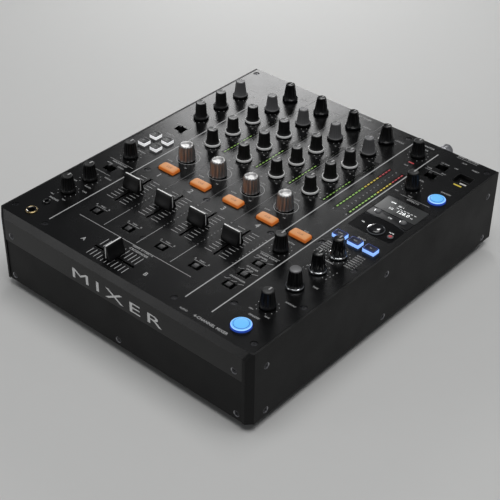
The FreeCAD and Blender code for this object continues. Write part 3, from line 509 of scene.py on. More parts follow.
def pointer(shape, top, tall, width=1.1, inner=0.8, drop=3.2):
    """The white line across a knob's top and a little way down its side."""
    shape.skin(block(width, top - inner - 0.5, tall - 0.3, tall + 0.06, 0.2, 0.05,
                     y=(top + inner - 0.5) / 2), MARK)
    edge = [[(-width / 2, top - 0.75, tall - 0.25), (width / 2, top - 0.75, tall - 0.25),
             (width / 2, top - 0.75, tall + 0.04), (-width / 2, top - 0.75, tall + 0.04)]]
    for y, z in ((top - 0.15, tall - 0.45), (top + 0.12, tall - 1.2), (top + 0.22, tall - drop)):
        edge.append([(-width / 2, y - 0.35, z - 0.1), (width / 2, y - 0.35, z - 0.1),
                     (width / 2, y, z), (-width / 2, y, z)])
    shape.skin(edge, MARK)


def knob_kind(name, rings, slots, top, tall, materials, line=1.1, drop=3.2):
    shape = Shape()
    shape.skin(rings, slots)
    if line:
        pointer(shape, top, tall, line, drop=drop)
    return shape.mesh(name, materials)


def fluted_knob(name):
    """The silver filter knob: deep flutes, and a star of facets in its top."""
    shape = Shape()
    lobes, count = 15, 120
    rings = lathe([(2.5, -12.3), (3.0, -11.9), (3.0, 0.8), (8.3, 0.8), (8.75, 1.1)], count)
    rings += lathe([(8.9, 1.5, 0.5), (8.7, 3.0, 0.9), (8.2, 9.5, 1.0), (7.65, 15.6, 1.0),
                    (7.45, 16.4, 0.85), (7.1, 17.0, 0.7), (6.5, 17.4, 0.5),
                    (5.8, 17.5, 0.3)], count, lobes)
    rings += lathe([(4.6, 17.0, 0.5), (3.2, 16.6, 0.4)], count, 5)
    rings += lathe([(2.2, 16.5), (0.8, 16.65)], count)
    shape.skin(rings, [SHAFT] * 2 + [GRIP] * 2 + [CROWN] * 20)
    return shape.mesh(name, [STEEL, CHROME, BLACK, SILVER, INK])


KNOB_MESHES = {
    "eq": knob_kind("eq_knob", knob(8.3, 6.2, 5.4, 18.5, skirt_tall=2.5), KNOB_SLOTS, 5.4,
                    18.5, [STEEL, PALE_RING, SOFT_BLACK, BLACK, INK], 1.5, 4.0),
    "trim": knob_kind("trim_knob", knob(8.3, 6.6, 5.0, 18.5, 20, 0.3), KNOB_SLOTS, 5.0, 18.5,
                      [STEEL, BLACK, GREY, GREY, INK]),
    "plain": knob_kind("plain_knob", knob(8.3, 6.2, 5.4, 18.5), KNOB_SLOTS, 5.4, 18.5,
                       [STEEL, BLACK, SOFT_BLACK, BLACK, INK], 1.4, 4.0),
    "selector": knob_kind("selector_knob", knob(8.3, 6.9, 4.9, 19.5, 10, 0.75, 0.6, 2.6),
                          KNOB_SLOTS, 4.9, 19.5, [STEEL, GLOSS, BLACK, BLACK, INK]),
    "level": knob_kind("level_knob", knob(7.6, 7.1, 5.5, 18.0, 16, 0.65),
                       KNOB_SLOTS, 5.5, 18.0, [STEEL, BLACK, BLACK, SOFT_BLACK, INK], 1.4, 4.0),
    "effect": knob_kind("effect_knob", knob(8.5, 6.9, 5.2, 20.0, 12, 0.7, 0.5),
                        KNOB_SLOTS, 5.2, 20.0, [STEEL, CHROME, GLOSS, BLACK, INK]),
    "time": knob_kind("time_knob", knob(8.5, 6.9, 5.6, 20.0, 12, 0.9, 0.3),
                      KNOB_SLOTS, 5.6, 20.0, [STEEL, CHROME, BLACK, GREY, INK], 0),
    "colour": fluted_knob("colour_knob"),
}
CHANNELS = (1, 2, 3, 4)
KNOBS = {}
for channel in CHANNELS:
    for row in ("selector", "trim", "hi", "mid", "low", "colour"):
        KNOBS[f"channel_{channel}_{row}"] = row if row in KNOB_MESHES else "eq"
KNOBS.update({
    "mic_level": "trim", "mic_hi": "plain", "mic_low": "plain", "colour_parameter": "level",
    "phones_mixing": "level", "phones_level": "level", "master_level": "level",
    "booth_level": "level", "send_level": "level", "effect_select": "effect",
    "effect_channel": "effect", "effect_time": "time", "effect_level": "level",
})
knob_at = {}
for name, kind in KNOBS.items():
    node = name + "_knob"
    centre = middle(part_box(node))
    knob_at[name] = (centre.x / MM, (centre.y - MIDDLE_Y) / MM)
    show(name + "_cap", KNOB_MESHES[kind], node, [node],
         Vector((centre.x, centre.y, TOP)))


# ------------------------------------------------------------------ faders

def fader_mesh():
    """A wedge with hollowed faces and a narrow ridge, on a flat steel lever."""
    def outline(x, inset):
        points = [(5.0, 1.0), (5.0, 2.6), (4.85, 4.0), (3.7, 6.6), (2.75, 9.6), (2.1, 12.6),
                  (1.75, 14.8), (1.35, 15.6), (0.75, 16.0)]
        points += [(-y, z) for y, z in reversed(points)]
        return [(x, y * (1 - inset / 5.0), 1.0 + (z - 1.0) * (1 - inset / 14) + inset * 0.4)
                for y, z in points]

    shape = Shape()
    shape.skin([outline(-10.0, 0.55), outline(-9.8, 0.2), outline(-9.4, 0.0),
                outline(9.4, 0.0), outline(9.8, 0.2), outline(10.0, 0.55)], 0)
    shape.skin(block(19.0, 1.35, 15.5, 16.08, 0.3, 0.1), 1)
    for side in (-1, 1):
        shape.skin(block(0.25, 0.9, 3.2, 15.3, 0.1, 0.05, x=side * 9.98), 1)
    for side in (-1, 1):
        for z in (1.7, 2.8):
            y = side * 5.02
            shape.skin([[(x, y - 0.08, z + 0.35), (x, y + 0.08, z + 0.35), (x, y + 0.08, z),
                         (x, y - 0.08, z)] for x in (-8.6, 8.6)], 0)
    shape.skin([rect(w, l, 0.2, z) for w, l, z in
                ((0.8, 3.4, -11.3), (1.2, 4.0, -10.8), (1.2, 4.0, 1.2), (1.2, 4.0, 2.0))], 2)
    return shape.mesh("fader_cap", [BLACK, PALE_RING, STEEL])


FADER = fader_mesh()
fader_at = {}
for name in [f"channel_{channel}_fader" for channel in CHANNELS] + ["crossfader"]:
    centre = middle(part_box(name))
    fader_at[name] = (centre.x / MM, (centre.y - MIDDLE_Y) / MM)
    item = show(name + "_cap", FADER, name, [name])
    item.matrix_world = (Matrix.Translation((centre.x, centre.y, TOP))
                         @ Matrix.Rotation(math.pi / 2 if name == "crossfader" else 0, 4, "Z"))


# ------------------------------------------------------------------ buttons and switches

def box_spot(box):
    """Panel x and y of a box's middle, and its width and depth."""
    centre, span = middle(box), sides(box)
    return centre.x / MM, (centre.y - MIDDLE_Y) / MM, span.x, span.y, (box[1].z - TOP) / MM


cue = Shape()
for box in islands("cue_buttons"):
    x, y, wide, long, rise = box_spot(box)
    spot = on_panel(x, y)
    cue.skin([rect(wide, long, 2.6, -8.4, 2), rect(wide, long, 2.6, rise - 1.1, 2),
              rect(wide - 0.3, long - 0.3, 2.5, rise - 0.6, 2),
              rect(wide - 1.6, long - 1.6, 2.2, rise - 0.12, 2),
              rect(wide - 2.2, long - 2.2, 2.0, rise, 2),
              rect(wide - 6.0, long - 6.0, 1.5, rise + 0.02, 2)], [1, 1, 1, 0, 0], spot)
    cue.words("CUE", on_panel(x, y, rise + 0.02), 2.4, 2)
show("cue_lenses", cue.mesh("cue_lenses", [AMBER, AMBER_EDGE, AMBER_INK]), "cue_buttons",
     ["cue_buttons"])


def lit_collar(shape, box, collar, inset, text, ink=3):
    """A dark key in a lit collar: slot 0 the collar, 1 the key and 2 its rim."""
    x, y, wide, long, rise = box_spot(box)
    shape.skin(block(wide, long, -8.4, collar, 1.3, 0.4), 0, on_panel(x, y))
    across, along = wide - 2 * inset, long - 2 * inset
    shape.skin([rect(across, along, 1.1, collar - 0.5), rect(across, along, 1.1, rise - 0.4),
                rect(across - 0.4, along - 0.4, 1.0, rise - 0.08),
                rect(across - 1.0, along - 1.0, 0.8, rise),
                rect(across - 2.6, along - 2.6, 0.6, rise - 0.12)],
               [1, 1, 2, 1], on_panel(x, y))
    if text:
        shape.words(text, on_panel(x, y, rise - 0.13), 1.5, ink)


effects = Shape()
for number, box in enumerate(islands("colour_effect_buttons")):
    lit_collar(effects, box, 2.9, 0.35, f"FX {number + 1}")
show("colour_effect_keys", effects.mesh("colour_effect_keys", [WHITE_SKIRT, BLACK, GREY, INK]),
     "colour_effect_buttons", ["colour_effect_buttons"])

beat = Shape()
for box in islands("beat_effect_buttons"):
    x, y, wide, long, rise = box_spot(box)
    if wide < long * 1.1:
        radius = wide / 2
        beat.skin(lathe([(radius, -8.4), (radius, rise - 1.4), (radius - 0.25, rise - 0.8),
                         (radius - 1.0, rise - 0.25), (radius - 1.7, rise - 0.1),
                         (radius - 2.3, rise - 0.25), (radius - 2.8, rise - 0.05),
                         (radius - 4.5, rise), (2.0, rise + 0.04)], 72),
                  [3, 3, 0, 4, 4, 3, 4, 4], on_panel(x, y))
    else:
        lit_collar(beat, box, 2.9, 0.4, ("LOW", "MID", "HI")[round((x - 127) / 17.5) + 1], 5)
show("beat_effect_keys",
     beat.mesh("beat_effect_keys", [BLUE_SKIRT, BLUE_CAP, BLUE_EDGE, BLUE_EDGE, BLUE, INK]),
     "beat_effect_buttons", ["beat_effect_buttons"])

keys = Shape()
for box in islands("display_buttons"):
    x, y, wide, long, rise = box_spot(box)
    radius = wide / 2
    if radius > 5:
        keys.skin(lathe([(radius, -8.4), (radius, rise - 1.2), (radius - 0.5, rise - 0.5),
                         (radius - 1.6, rise), (radius - 2.6, rise + 0.02),
                         (radius - 4.2, rise - 0.35), (1.5, rise - 0.55)], 72),
                  0, on_panel(x, y))
    else:
        lit = 1 if x > 143 else 2
        keys.skin(lathe([(radius, -8.4), (radius, rise - 1.9), (radius - 0.4, rise - 1.5),
                         (radius - 1.2, rise - 1.35), (0.6, rise - 1.35)], 40),
                  [2, 2, 2, lit], on_panel(x, y))
show("display_keys", keys.mesh("display_keys", [GLOSS, RED_LED, GREY]), "display_buttons",
     ["display_buttons"])

sliders = Shape()
for box in islands("slide_switches"):
    x, y, wide, long, rise = box_spot(box)
    low = (box[0].z - TOP) / MM
    spot = on_panel(x, y)
    sliders.skin([rect(wide, long, 0.4, low)] + block(wide, long, rise - 1.2, rise, 0.4, 0.35),
                 0, spot)
    ridges = 3 if wide > 5 else 1
    for step in range(ridges):
        across = (step - (ridges - 1) / 2) * 1.5
        sliders.skin(block(0.5, long - 1.2, rise - 0.2, rise + 0.22, 0.2, 0.15, x=across),
                     1, spot)
show("slide_switch_caps", sliders.mesh("slide_switch_caps", [BLACK, GREY]), "slide_switches",
     ["slide_switches"])

power = Shape()
power_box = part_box("power_button")
spot = middle(power_box)
spot.y = REAR_Y
wide, deep, tall = sides(power_box)
reach = (power_box[1].y - REAR_Y) / MM
power.skin([rect(wide, tall, 0.8, reach - deep), rect(wide, tall, 0.8, reach - 0.9),
            rect(wide - 0.5, tall - 0.5, 0.8, reach - 0.35),
            rect(wide - 1.6, tall - 1.6, 0.8, reach), rect(wide - 4, tall - 4, 0.8, reach - 0.3)],
           0, place(spot, "back"))
power.ring_line(1.6, 0.3, 1, place(spot + Vector((0, (reach - 0.25) * MM, 0)), "back"),
                count=32)
show("power_key", power.mesh("power_key", [BLACK, INK]), "power_button", ["power_button"])


# ------------------------------------------------------------------ windows and meters

glass = Shape()
meter_boxes = []
for box in islands("windows"):
    x, y, wide, long, rise = box_spot(box)
    low = (box[0].z - TOP) / MM
    if wide > 20:
        display_spot = (x, y, wide, long)
        glass.skin([rect(wide, long, 1.2, low), rect(wide, long, 1.2, -0.15),
                    rect(wide - 0.4, long - 0.4, 1.1, 0.0)], 0, on_panel(x, y))
    else:
        meter_boxes.append((x, y, wide, long))
        glass.skin([rect(wide, long, 0.4, low), rect(wide, long, 0.4, -0.1),
                    rect(wide - 0.2, long - 0.2, 0.35, 0.0)], 0, on_panel(x, y))
GLASS, GREEN, YELLOW, RED, UNLIT, PALE_LCD, DIM_LCD, WRITING, RIM = range(9)

SEGMENTS = 18
for x, y, wide, long in meter_boxes:
    pitch = (long - 2) / SEGMENTS
    master = x > 70
    for step in range(SEGMENTS):
        along = y - long / 2 + 1 + pitch * (step + 0.5)
        colour = GREEN if step < 9 else YELLOW if step < 14 else RED
        if not master and step > 8:
            colour = UNLIT
        glass.skin(block(1.6 if master else 1.0, pitch * 0.66, -0.05, 0.08, 0.25, 0.06), colour,
                   on_panel(x, along))

x, y, wide, long = display_spot
back = y + long / 2
front = y - long / 2
LCD_LONG = 24.5
glass.skin(block(wide - 1.2, LCD_LONG, -0.05, 0.10, 0.8, 0.05, y=back - 0.6 - LCD_LONG / 2,
                 x=x), PALE_LCD, on_panel(0, 0))
glass.skin(block(wide - 1.2, 11.5, -0.05, 0.09, 0.8, 0.05, y=back - 1.4 - LCD_LONG - 5.75, x=x),
           DIM_LCD, on_panel(0, 0))
arch = []
for step in range(13):
    share = step / 12
    arch.append((x - wide / 2 + 1.5 + (wide - 3) * share,
                 front + 25.2 + 3.2 * math.sin(math.pi * share)))
glass.ribbon(arch, 0.3, RIM, on_panel(0, 0, 0.05))
for text, dx, dy, size in (("128.0", 5.0, -17.5, 4.4), ("BPM", -12.5, -8.0, 2.0),
                           ("FX 1", -2.5, -9.5, 2.2), ("1/2", -9.0, -17.5, 2.8),
                           ("ms", 15.5, -18.6, 1.6)):
    glass.words(text, on_panel(x + dx, back + dy, 0.10), size, WRITING)
for dx in (-4, 0, 4, 8, 12, 16):
    glass.skin(block(2.6, 0.5, 0.05, 0.13, 0.2, 0.03, x=x + dx, y=back - 13.0), WRITING,
               on_panel(0, 0))
for dx, dy in ((-15.5, 3.5), (13.5, 3.5)):
    glass.skin(lathe([(3.5, 0.0), (3.5, 0.25), (3.1, 0.35), (3.05, 0.0)], 40), RIM,
               on_panel(x + dx, y + dy), closed=True)
glass.words("STEP", on_panel(x, y + 1.2, 0.06), 1.4, WRITING)
glass.words("TAP", on_panel(x - 15.5, y - 20.0, 0.02), 1.4, WRITING)
glass.words("AUTO", on_panel(x + 15.5, y - 17.6, 0.02), 1.3, WRITING)
TAP = (1.2, -22.5)
glass.skin(lathe([(8.7, -0.02), (8.7, 0.45), (8.45, 0.75), (8.1, 0.8), (7.75, 0.5),
                  (7.75, -0.02)], 72), RIM, on_panel(x + TAP[0], y + TAP[1]), closed=True)
show("windows_and_meters",
     glass.mesh("windows_and_meters", [SMOKE, GREEN_LED, YELLOW_LED, RED_LED, DARK_LED, LCD,
                                       LCD_LOW, LCD_INK, CHROME]),
     "chassis", ["windows"])


# ------------------------------------------------------------------ sockets

BLACK_PART, NICKEL, GOLD_PART, RED_PART, WHITE_PART, DARK_PART = range(6)
sockets = Shape()


def jack_socket(spot, bore, ring, metal, reach=24.0, facing="up"):
    """A jack's ring, its bore and the body behind it."""
    matrix = place(spot, facing)
    sockets.skin(lathe([
        (bore + 2.6, 1.8 - reach), (bore + 2.9, 2.4 - reach), (bore + 2.9, -2.1),
        (bore + 1.6, -2.1),
        (bore + 1.6, 0.0), (ring, 0.0), (ring, 0.7), (ring - 0.35, 1.2), (ring - 0.9, 1.45),
        (ring - 1.2, 1.3), (bore + 0.9, 0.9), (bore + 0.1, 0.7), (bore, 0.3),
        (bore, 4.0 - reach), (0.4, 4.0 - reach)], 64),
        [BLACK_PART] * 5 + [metal] * 4 + [DARK_PART] * 5, matrix)


def rca_socket(spot, insulator):
    matrix = place(spot, "back")
    sockets.skin(lathe([(4.6, -6.0), (5.0, -5.6), (5.0, 0.02), (6.0, 0.02), (6.0, 0.9),
                        (5.7, 1.4), (4.9, 1.5), (4.15, 1.6)], 48), insulator, matrix)
    sockets.skin(lathe([(4.15, 1.0), (4.15, 8.6), (3.95, 8.95), (3.6, 9.0), (3.4, 8.7),
                        (3.4, 1.0)], 48), NICKEL, matrix, closed=True)
    sockets.skin(lathe([(3.4, 0.5), (3.4, 8.2), (2.2, 8.2), (2.0, 8.35), (1.75, 8.3),
                        (1.7, 7.9), (1.7, 0.5)], 40), WHITE_PART, matrix, closed=True)


def xlr_socket(spot, male):
    matrix = place(spot, "back")
    sockets.skin(lathe([(11.0, -15.9), (11.5, -15.4), (11.5, 0.02), (13.4, 0.02), (13.4, 0.9),
                        (13.0, 1.35), (12.2, 1.5), (10.4, 1.5), (9.8, 1.2), (9.5, 0.6),
                        (9.5, -12.0 if male else -1.6), (1.0, -12.0 if male else -1.6)], 72),
                 [BLACK_PART] * 7 + [NICKEL] * 3 + [BLACK_PART] * 2, matrix)
    for number in range(3):
        angle = math.radians(-90 + 120 * number + (60 if male else 0))
        x, y = 4.6 * math.cos(angle), 4.6 * math.sin(angle)
        if male:
            rings = lathe([(1.2, -12.5), (1.2, -2.6), (0.9, -1.9), (0.35, -1.6)], 20)
        else:
            rings = lathe([(1.9, -2.0), (1.9, -1.45), (1.3, -1.4), (1.1, -1.9)], 20)
        sockets.skin(moved(rings, x, y), GOLD_PART if male else DARK_PART, matrix)
    for x, y in ((-10.6, 10.6), (10.6, -10.6)):
        screw = lathe([(1.5, 1.3), (1.5, 1.75), (1.1, 1.95)], 24)
        sockets.skin(moved(screw, x * 0.82, y * 0.82), NICKEL, matrix)
    if not male:
        sockets.skin(block(5.2, 3.0, 1.0, 2.1, 0.6, 0.4, y=11.2), NICKEL, matrix)


def inlet_socket(box):
    spot = middle(box)
    spot.y = REAR_Y
    wide, _, tall = sides(box)
    matrix = place(spot, "back")
    sockets.skin([rect(wide - 6, tall - 6, 3, -17.5), rect(wide - 6, tall - 6, 3, 0.02),
                  rect(wide, tall, 3, 0.02), rect(wide, tall, 3, 1.0),
                  rect(wide - 0.8, tall - 0.8, 2.8, 1.5), rect(wide - 9.6, tall - 9.6, 4, 1.5),
                  rect(wide - 10, tall - 10, 4, 1.0), rect(wide - 10, tall - 10, 4, -15.0)],
                 [BLACK_PART] * 6 + [DARK_PART], matrix)
    for x, y in ((-7.0, -2.0), (0.0, 2.5), (7.0, -2.0)):
        sockets.skin(block(1.8, 4.6, -15.4, -2.6, 0.3, 0.4, x=x, y=y), NICKEL, matrix)


def usb_socket(box):
    """A shallow well with the port in its floor."""
    x, y, wide, long, rise = box_spot(box)
    low = (box[0].z - TOP) / MM
    matrix = on_panel(x, y)
    sockets.skin([rect(wide, long, 1.0, low), rect(wide, long, 1.0, -0.2),
                  rect(wide - 0.3, long - 0.3, 1.0, 0.0), rect(wide - 1.4, long - 1.4, 0.8, 0.0),
                  rect(wide - 1.8, long - 1.8, 0.8, -0.3), rect(wide - 2.0, long - 2.0, 0.8, -5.0),
                  rect(9.8, 9.0, 0.6, -5.0), rect(9.4, 8.6, 0.6, -5.3),
                  rect(9.4, 8.6, 0.6, -13.0)], [BLACK_PART] * 6 + [NICKEL] + [DARK_PART], matrix)
    sockets.skin(block(7.4, 2.0, -13.0, -5.9, 0.2, 0.2, y=1.2), WHITE_PART, matrix)


def thumb_nut(box):
    """The knurled earth terminal."""
    spot = middle(box)
    spot.y = REAR_Y
    matrix = place(spot, "back")
    reach = (box[1].y - REAR_Y) / MM
    radius = sides(box).x / 2
    profile = [(2.2, -4.6), (2.5, -4.2), (2.5, 2.0), (radius - 0.7, 2.0), (radius, 2.7, 0.45),
               (radius, reach - 1.4, 0.45), (radius - 0.5, reach - 0.6),
               (radius - 1.0, reach - 0.2),
               (radius - 1.6, reach - 0.1), (2.9, reach - 0.5), (2.4, reach - 0.1), (1.6, reach)]
    sockets.skin(lathe(profile, 120, 30), NICKEL, matrix)


rca_columns = []
for box in islands("sockets"):
    wide, deep, tall = sides(box)
    spot = middle(box)
    if box[1].z > TOP - 0.001 and tall > 8 and box[0].z > 0.03 and deep < 20 and spot.z > 0.06:
        spot.z = TOP
        if wide > 15:
            usb_socket(box)
        elif wide > 11:
            jack_socket(spot, 3.25, 6.0, GOLD_PART)
        else:
            jack_socket(spot, 1.85, 4.0, BLACK_PART, 16.0)
        continue
    spot.y = REAR_Y
    if wide > 30:
        inlet_socket(box)
    elif wide > 25:
        xlr_socket(spot, spot.x < 0)
    elif wide > 14:
        matrix = place(spot, "back")
        sockets.skin([rect(wide, tall, 0.6, -12.8), rect(wide, tall, 0.6, -0.3),
                      rect(wide - 0.4, tall - 0.4, 0.6, 0.0),
                      rect(wide - 2.6, tall - 2.6, 0.6, 0.0),
                      rect(wide - 3.0, tall - 3.0, 0.6, -0.3),
                      rect(wide - 3.0, tall - 3.0, 0.6, -11.0)], BLACK_PART, matrix)
    elif wide > 12.5:
        thumb_nut(box)
    elif deep > 20:
        jack_socket(spot, 3.25, 6.0, NICKEL, 24.0, "back")
    else:
        rca_columns.append(round(spot.x / MM, 1))
        rca_socket(spot, WHITE_PART if spot.z > 0.039 else RED_PART)
show("connectors",
     sockets.mesh("connectors", [BLACK, STEEL, GOLD, RCA_RED, RCA_WHITE, GLOSS]), "chassis",
     ["sockets"])


# ------------------------------------------------------------------ printing on the panel

WHITE, DIM, LIT, AMBER_MARK, BRIGHT = range(5)
ink = Shape()


def line(x0, y0, x1, y1, width=0.35, slot=DIM):
    ink.ribbon([(x0, y0), (x1, y1)], width, slot, on_panel(0, 0))


def label(text, x, y, size=1.9, slot=WHITE, align="CENTER"):
    ink.words(text, on_panel(x, y, 0.01), size, slot, align)


def labels(*rows):
    for row in rows:
        label(*row)


def ticks(name, radius=10.6, count=11, sweep=300.0, length=1.3, dots=False):
    """Marks round a knob, from its lowest to its highest setting."""
    x, y = knob_at[name]
    for step in range(count):
        angle = math.radians(90 + sweep / 2 - sweep * step / (count - 1))
        cos, sin = math.cos(angle), math.sin(angle)
        if dots:
            ink.dot(x + radius * cos, y + radius * sin, 0.42, WHITE, on_panel(0, 0))
        else:
            line(x + radius * cos, y + radius * sin, x + (radius + length) * cos,
                 y + (radius + length) * sin, 0.4, WHITE)


# the rules between the columns
for x, back_end, front_end in ((-109.25, 183, -166), (65.5, 187, -165), (96.5, 174, -165)):
    line(x, back_end, x, front_end, 1.15, WHITE)
columns = [knob_at[f"channel_{channel}_low"][0] for channel in CHANNELS]
for left, right in zip(columns, columns[1:]):
    x = (left + right) / 2 + 0.2
    line(x, 187, x, -52, 0.45, DIM)
    line(x, -104, x, -138, 0.5, WHITE)
line(-94, -141.5, 50, -141.5, 0.5, WHITE)

ASSIGN_Y = -127.0
for number, x in enumerate(columns, start=1):
    _, fader_y = fader_at[f"channel_{number}_fader"]
    for step in range(11):
        y = fader_y + 22.8 - 4.56 * step
        reach = 13.0 if step % 5 == 0 else 12.0
        for side in (-1, 1):
            line(x + side * 4.2, y, x + side * reach, y, 0.5, WHITE)
        label(str(10 - step), x + 21.4, y - 0.2, 1.3, WHITE)
    label(str(number), x, -43.5, 6.2)
    ink.ring_line(11.8, 0.4, WHITE, on_panel(x, -1.5))
    label("LOW", x - 10.5, -16.8, 1.8)
    label("HI", x + 10.5, -16.8, 1.8)
    label("TONE", x, 14.2, 1.7)
    for row, text in (("trim", "TRIM"), ("hi", "HI"), ("mid", "MID"), ("low", "LOW")):
        name = f"channel_{number}_{row}"
        ticks(name, 9.6)
        label(text, x - 12.2, knob_at[name][1] + 7.8, 1.9)
        label("-26", x - 9.6, knob_at[name][1] - 11.6, 1.4)
        label("+6", x + 9.6, knob_at[name][1] - 11.6, 1.4)
    ticks(f"channel_{number}_selector", 10.0, 5, 150)
    y = knob_at[f"channel_{number}_selector"][1]
    label("LINE", x - 12.8, y + 8.6, 1.7)
    label("PHONO", x + 12.0, y + 8.6, 1.7)
    line(x - 16, y + 10.6, x - 8, y + 10.6, 0.3, DIM)
    line(x + 7, y + 10.6, x + 17, y + 10.6, 0.3, DIM)
    label(f"USB {number}", x - 13.5, y - 4.0, 1.5)
    label("A", x - 8.0, ASSIGN_Y + 8.6, 2.0)
    label("THRU", x, ASSIGN_Y + 8.6, 1.7)
    label("B", x + 8.0, ASSIGN_Y + 8.6, 2.0)
    line(x - 8, ASSIGN_Y + 6.4, x + 8, ASSIGN_Y + 6.4, 0.35, WHITE)
    meter_x = x + 18.5
    for step, text in enumerate(("10", "7", "4", "2", "0", "-2", "-5", "-10", "-24")):
        label(text, meter_x - 4.2, 117 - step * 10.6, 1.1)

# crossfader
cross_x, cross_y = fader_at["crossfader"]
for step in range(11):
    x = cross_x - 22.5 + 4.5 * step
    for side, reach in ((1, 15.0), (-1, 13.0)):
        line(x, cross_y + side * 3.6, x, cross_y + side * reach, 0.65, WHITE)
label("A", cross_x - 40.2, cross_y, 4.6)
label("B", cross_x + 39.8, cross_y, 4.6)
label("CROSSFADER", cross_x + 1, cross_y + 18.4, 2.6, WHITE, "LEFT")
label("ASSIGN  A / THRU / B", cross_x + 1, cross_y + 22.6, 1.8, WHITE, "LEFT")

# microphone and headphone column
left_x = knob_at["mic_level"][0]
for name in ("mic_level", "mic_hi", "mic_low", "colour_parameter", "phones_mixing"):
    ticks(name, 9.8)
ticks("phones_level", 10.2, 11, 300, dots=True)
labels(
    ("MIC", left_x - 12, 142, 2.6), ("LEVEL", left_x + 12, 136, 1.7),
    ("HI", left_x + 12, 104, 1.7), ("LOW", left_x + 12, 73, 1.7),
    ("OFF", left_x - 8, 40.5, 1.6), ("1", left_x, 41.5, 1.6),
    ("2", left_x + 8, 41.5, 1.6), ("EFFECTS", left_x, 19.0, 2.0),
    ("AMOUNT", left_x + 2, -24.5, 1.7), ("MONO", left_x - 7, -60.0, 1.6),
    ("STEREO", left_x + 8, -60.0, 1.6), ("HEADPHONES", left_x + 2, -55.2, 2.1),
    ("MIXING", left_x + 13, -82, 1.7), ("CUE", left_x - 9, -105, 1.6),
    ("MASTER", left_x + 9, -105, 1.6), ("LEVEL", left_x + 13, -113, 1.7),
    ("MIN", left_x - 8, -135.5, 1.5), ("MAX", left_x + 8, -135.5, 1.5),
    ("PHONES", left_x, -140.5, 2.2))
line(left_x - 14, -52.6, left_x + 18, -52.6, 0.35, WHITE)
line(left_x - 14, 145.5, left_x + 12, 145.5, 0.35, WHITE)
line(left_x - 11, -77.0, left_x + 11, -77.0, 0.35, WHITE)

# master column
master_x = knob_at["master_level"][0]
ticks("master_level", 10.4, 11, 300, dots=True)
ticks("booth_level", 10.4, 11, 300, dots=True)
labels(
    ("MASTER", master_x, 179, 2.4), ("LEVEL", master_x, 172.5, 1.9),
    ("L", master_x - 5, 27, 1.9), ("R", master_x + 10.3, 27, 1.9),
    ("CUE", master_x, -20.0, 1.8), ("BOOTH", master_x, -43.5, 2.0),
    ("FADER CURVE", master_x, -73.5, 2.1), ("CHANNEL", master_x - 4, -78.0, 1.9),
    ("CH FADER", master_x, -96.0, 1.9), ("CROSS", master_x, -99.6, 1.7),
    ("CROSSFADER", master_x, -116.0, 2.0))
for y in (-80.6, -101.8, -120.4):
    for dx in (-8, 0, 8):
        bend = 1.4 * (dx / 8 + 1)
        ink.ribbon([(master_x + dx - 2.6, y - 1.1), (master_x + dx, y - 1.1 + bend / 2),
                    (master_x + dx + 2.6, y + 1.1)], 0.4, WHITE, on_panel(0, 0))
line(70, -71.0, 93, -71.0, 0.35, WHITE)
for step, text in enumerate(("10", "7", "4", "2", "1", "0", "-1", "-2", "-3", "-5", "-7",
                             "-10", "-15", "-18", "-24")):
    label(text, 84.6, 117.5 - step * 6.0, 1.35)
ink.skin(block(6.5, 1.8, -0.03, 0.06, 0.4, 0.03), LIT, on_panel(85, 143))
label("CLIP", 83.5, 136, 1.7)

# send column
send_x, send_y = knob_at["send_level"]
ticks("send_level", 10.2, 11, 300, dots=True)
labels(
    ("SEND / RETURN", 125, 186, 2.3), ("AUX", 126, 177.5, 1.8),
    ("INSERT", 142, 172.5, 1.7), ("1/4 JACK", 112, 164.0, 1.7),
    ("USB", 125, 164.0, 1.7), ("TYPE", 104, 147.5, 1.8), ("AUX", 121, 147.5, 1.7),
    ("LEVEL", send_x, 122.5, 1.8), ("ON/OFF", 142.5, 119.5, 2.1),
    ("MIN", send_x - 8, 92.5, 1.5), ("MAX", send_x + 8, 92.5, 1.5),
    ("EFFECTS", 127, 86.5, 2.5))
line(101, 144.8, 122, 144.8, 0.35, WHITE)
line(113, 183, 137, 183, 0.35, WHITE)
line(110, 89.6, 144, 89.6, 0.35, WHITE)

# effect column
effect_x = knob_at["effect_select"][0]
ticks("effect_select", 10.3, 14, 330)
ticks("effect_channel", 10.3, 9, 240)
ticks("effect_level", 10.2, 11, 300, dots=True)
label("BAND", effect_x, 5.4, 2.2)
for number in range(7):
    y = -18.0 - 3.3 * number
    label(f"EFFECT {number + 1}", effect_x - 12.5, y, 1.5, WHITE, "RIGHT")
    label(f"EFFECT {number + 8}", effect_x + 12.5, y, 1.5, WHITE, "LEFT")
for number, text in enumerate(("1", "2", "3", "4")):
    label(text, effect_x - 12.8 + 1.0 * number, -64.0 + 4.4 * number, 1.6)
for number, text in enumerate(("5", "6", "7", "8")):
    label(text, effect_x + 15.2 - 0.6 * number, -51.0 - 4.4 * number, 1.5)
labels(
    ("CHANNEL", effect_x - 1, -42.6, 1.6), ("TIME", effect_x + 14, -80.0, 1.9),
    ("AMOUNT", effect_x + 13, -112.5, 1.8), ("MIN", effect_x - 9, -139.0, 1.7),
    ("MAX", effect_x + 9, -139.0, 1.7), ("ON/OFF", effect_x, -145.5, 2.2))
label("4-CHANNEL MIXER", 107, -178.0, 3.0)
label("AUDIO", 76, -178.2, 1.9)
label("AUDIO MIXER", -6, 181.5, 2.6)
ink.skin(block(9.0, 2.0, -0.03, 0.08, 0.3, 0.05), AMBER_MARK, on_panel(142.5, 139.6))

# the front flange
WORD_Z = 0.065
ink.words("MIXER", place(Vector((0.0, FRONT_Y, WORD_Z)), "front"), 11.0, BRIGHT, thick=0.04,
          wide=2.1, spacing=1.35, bold=0.0)


def rear_label(text, x, z, size=2.2):
    ink.words(text, place(Vector((x * MM, REAR_Y, z * MM)), "back"), size, WHITE)


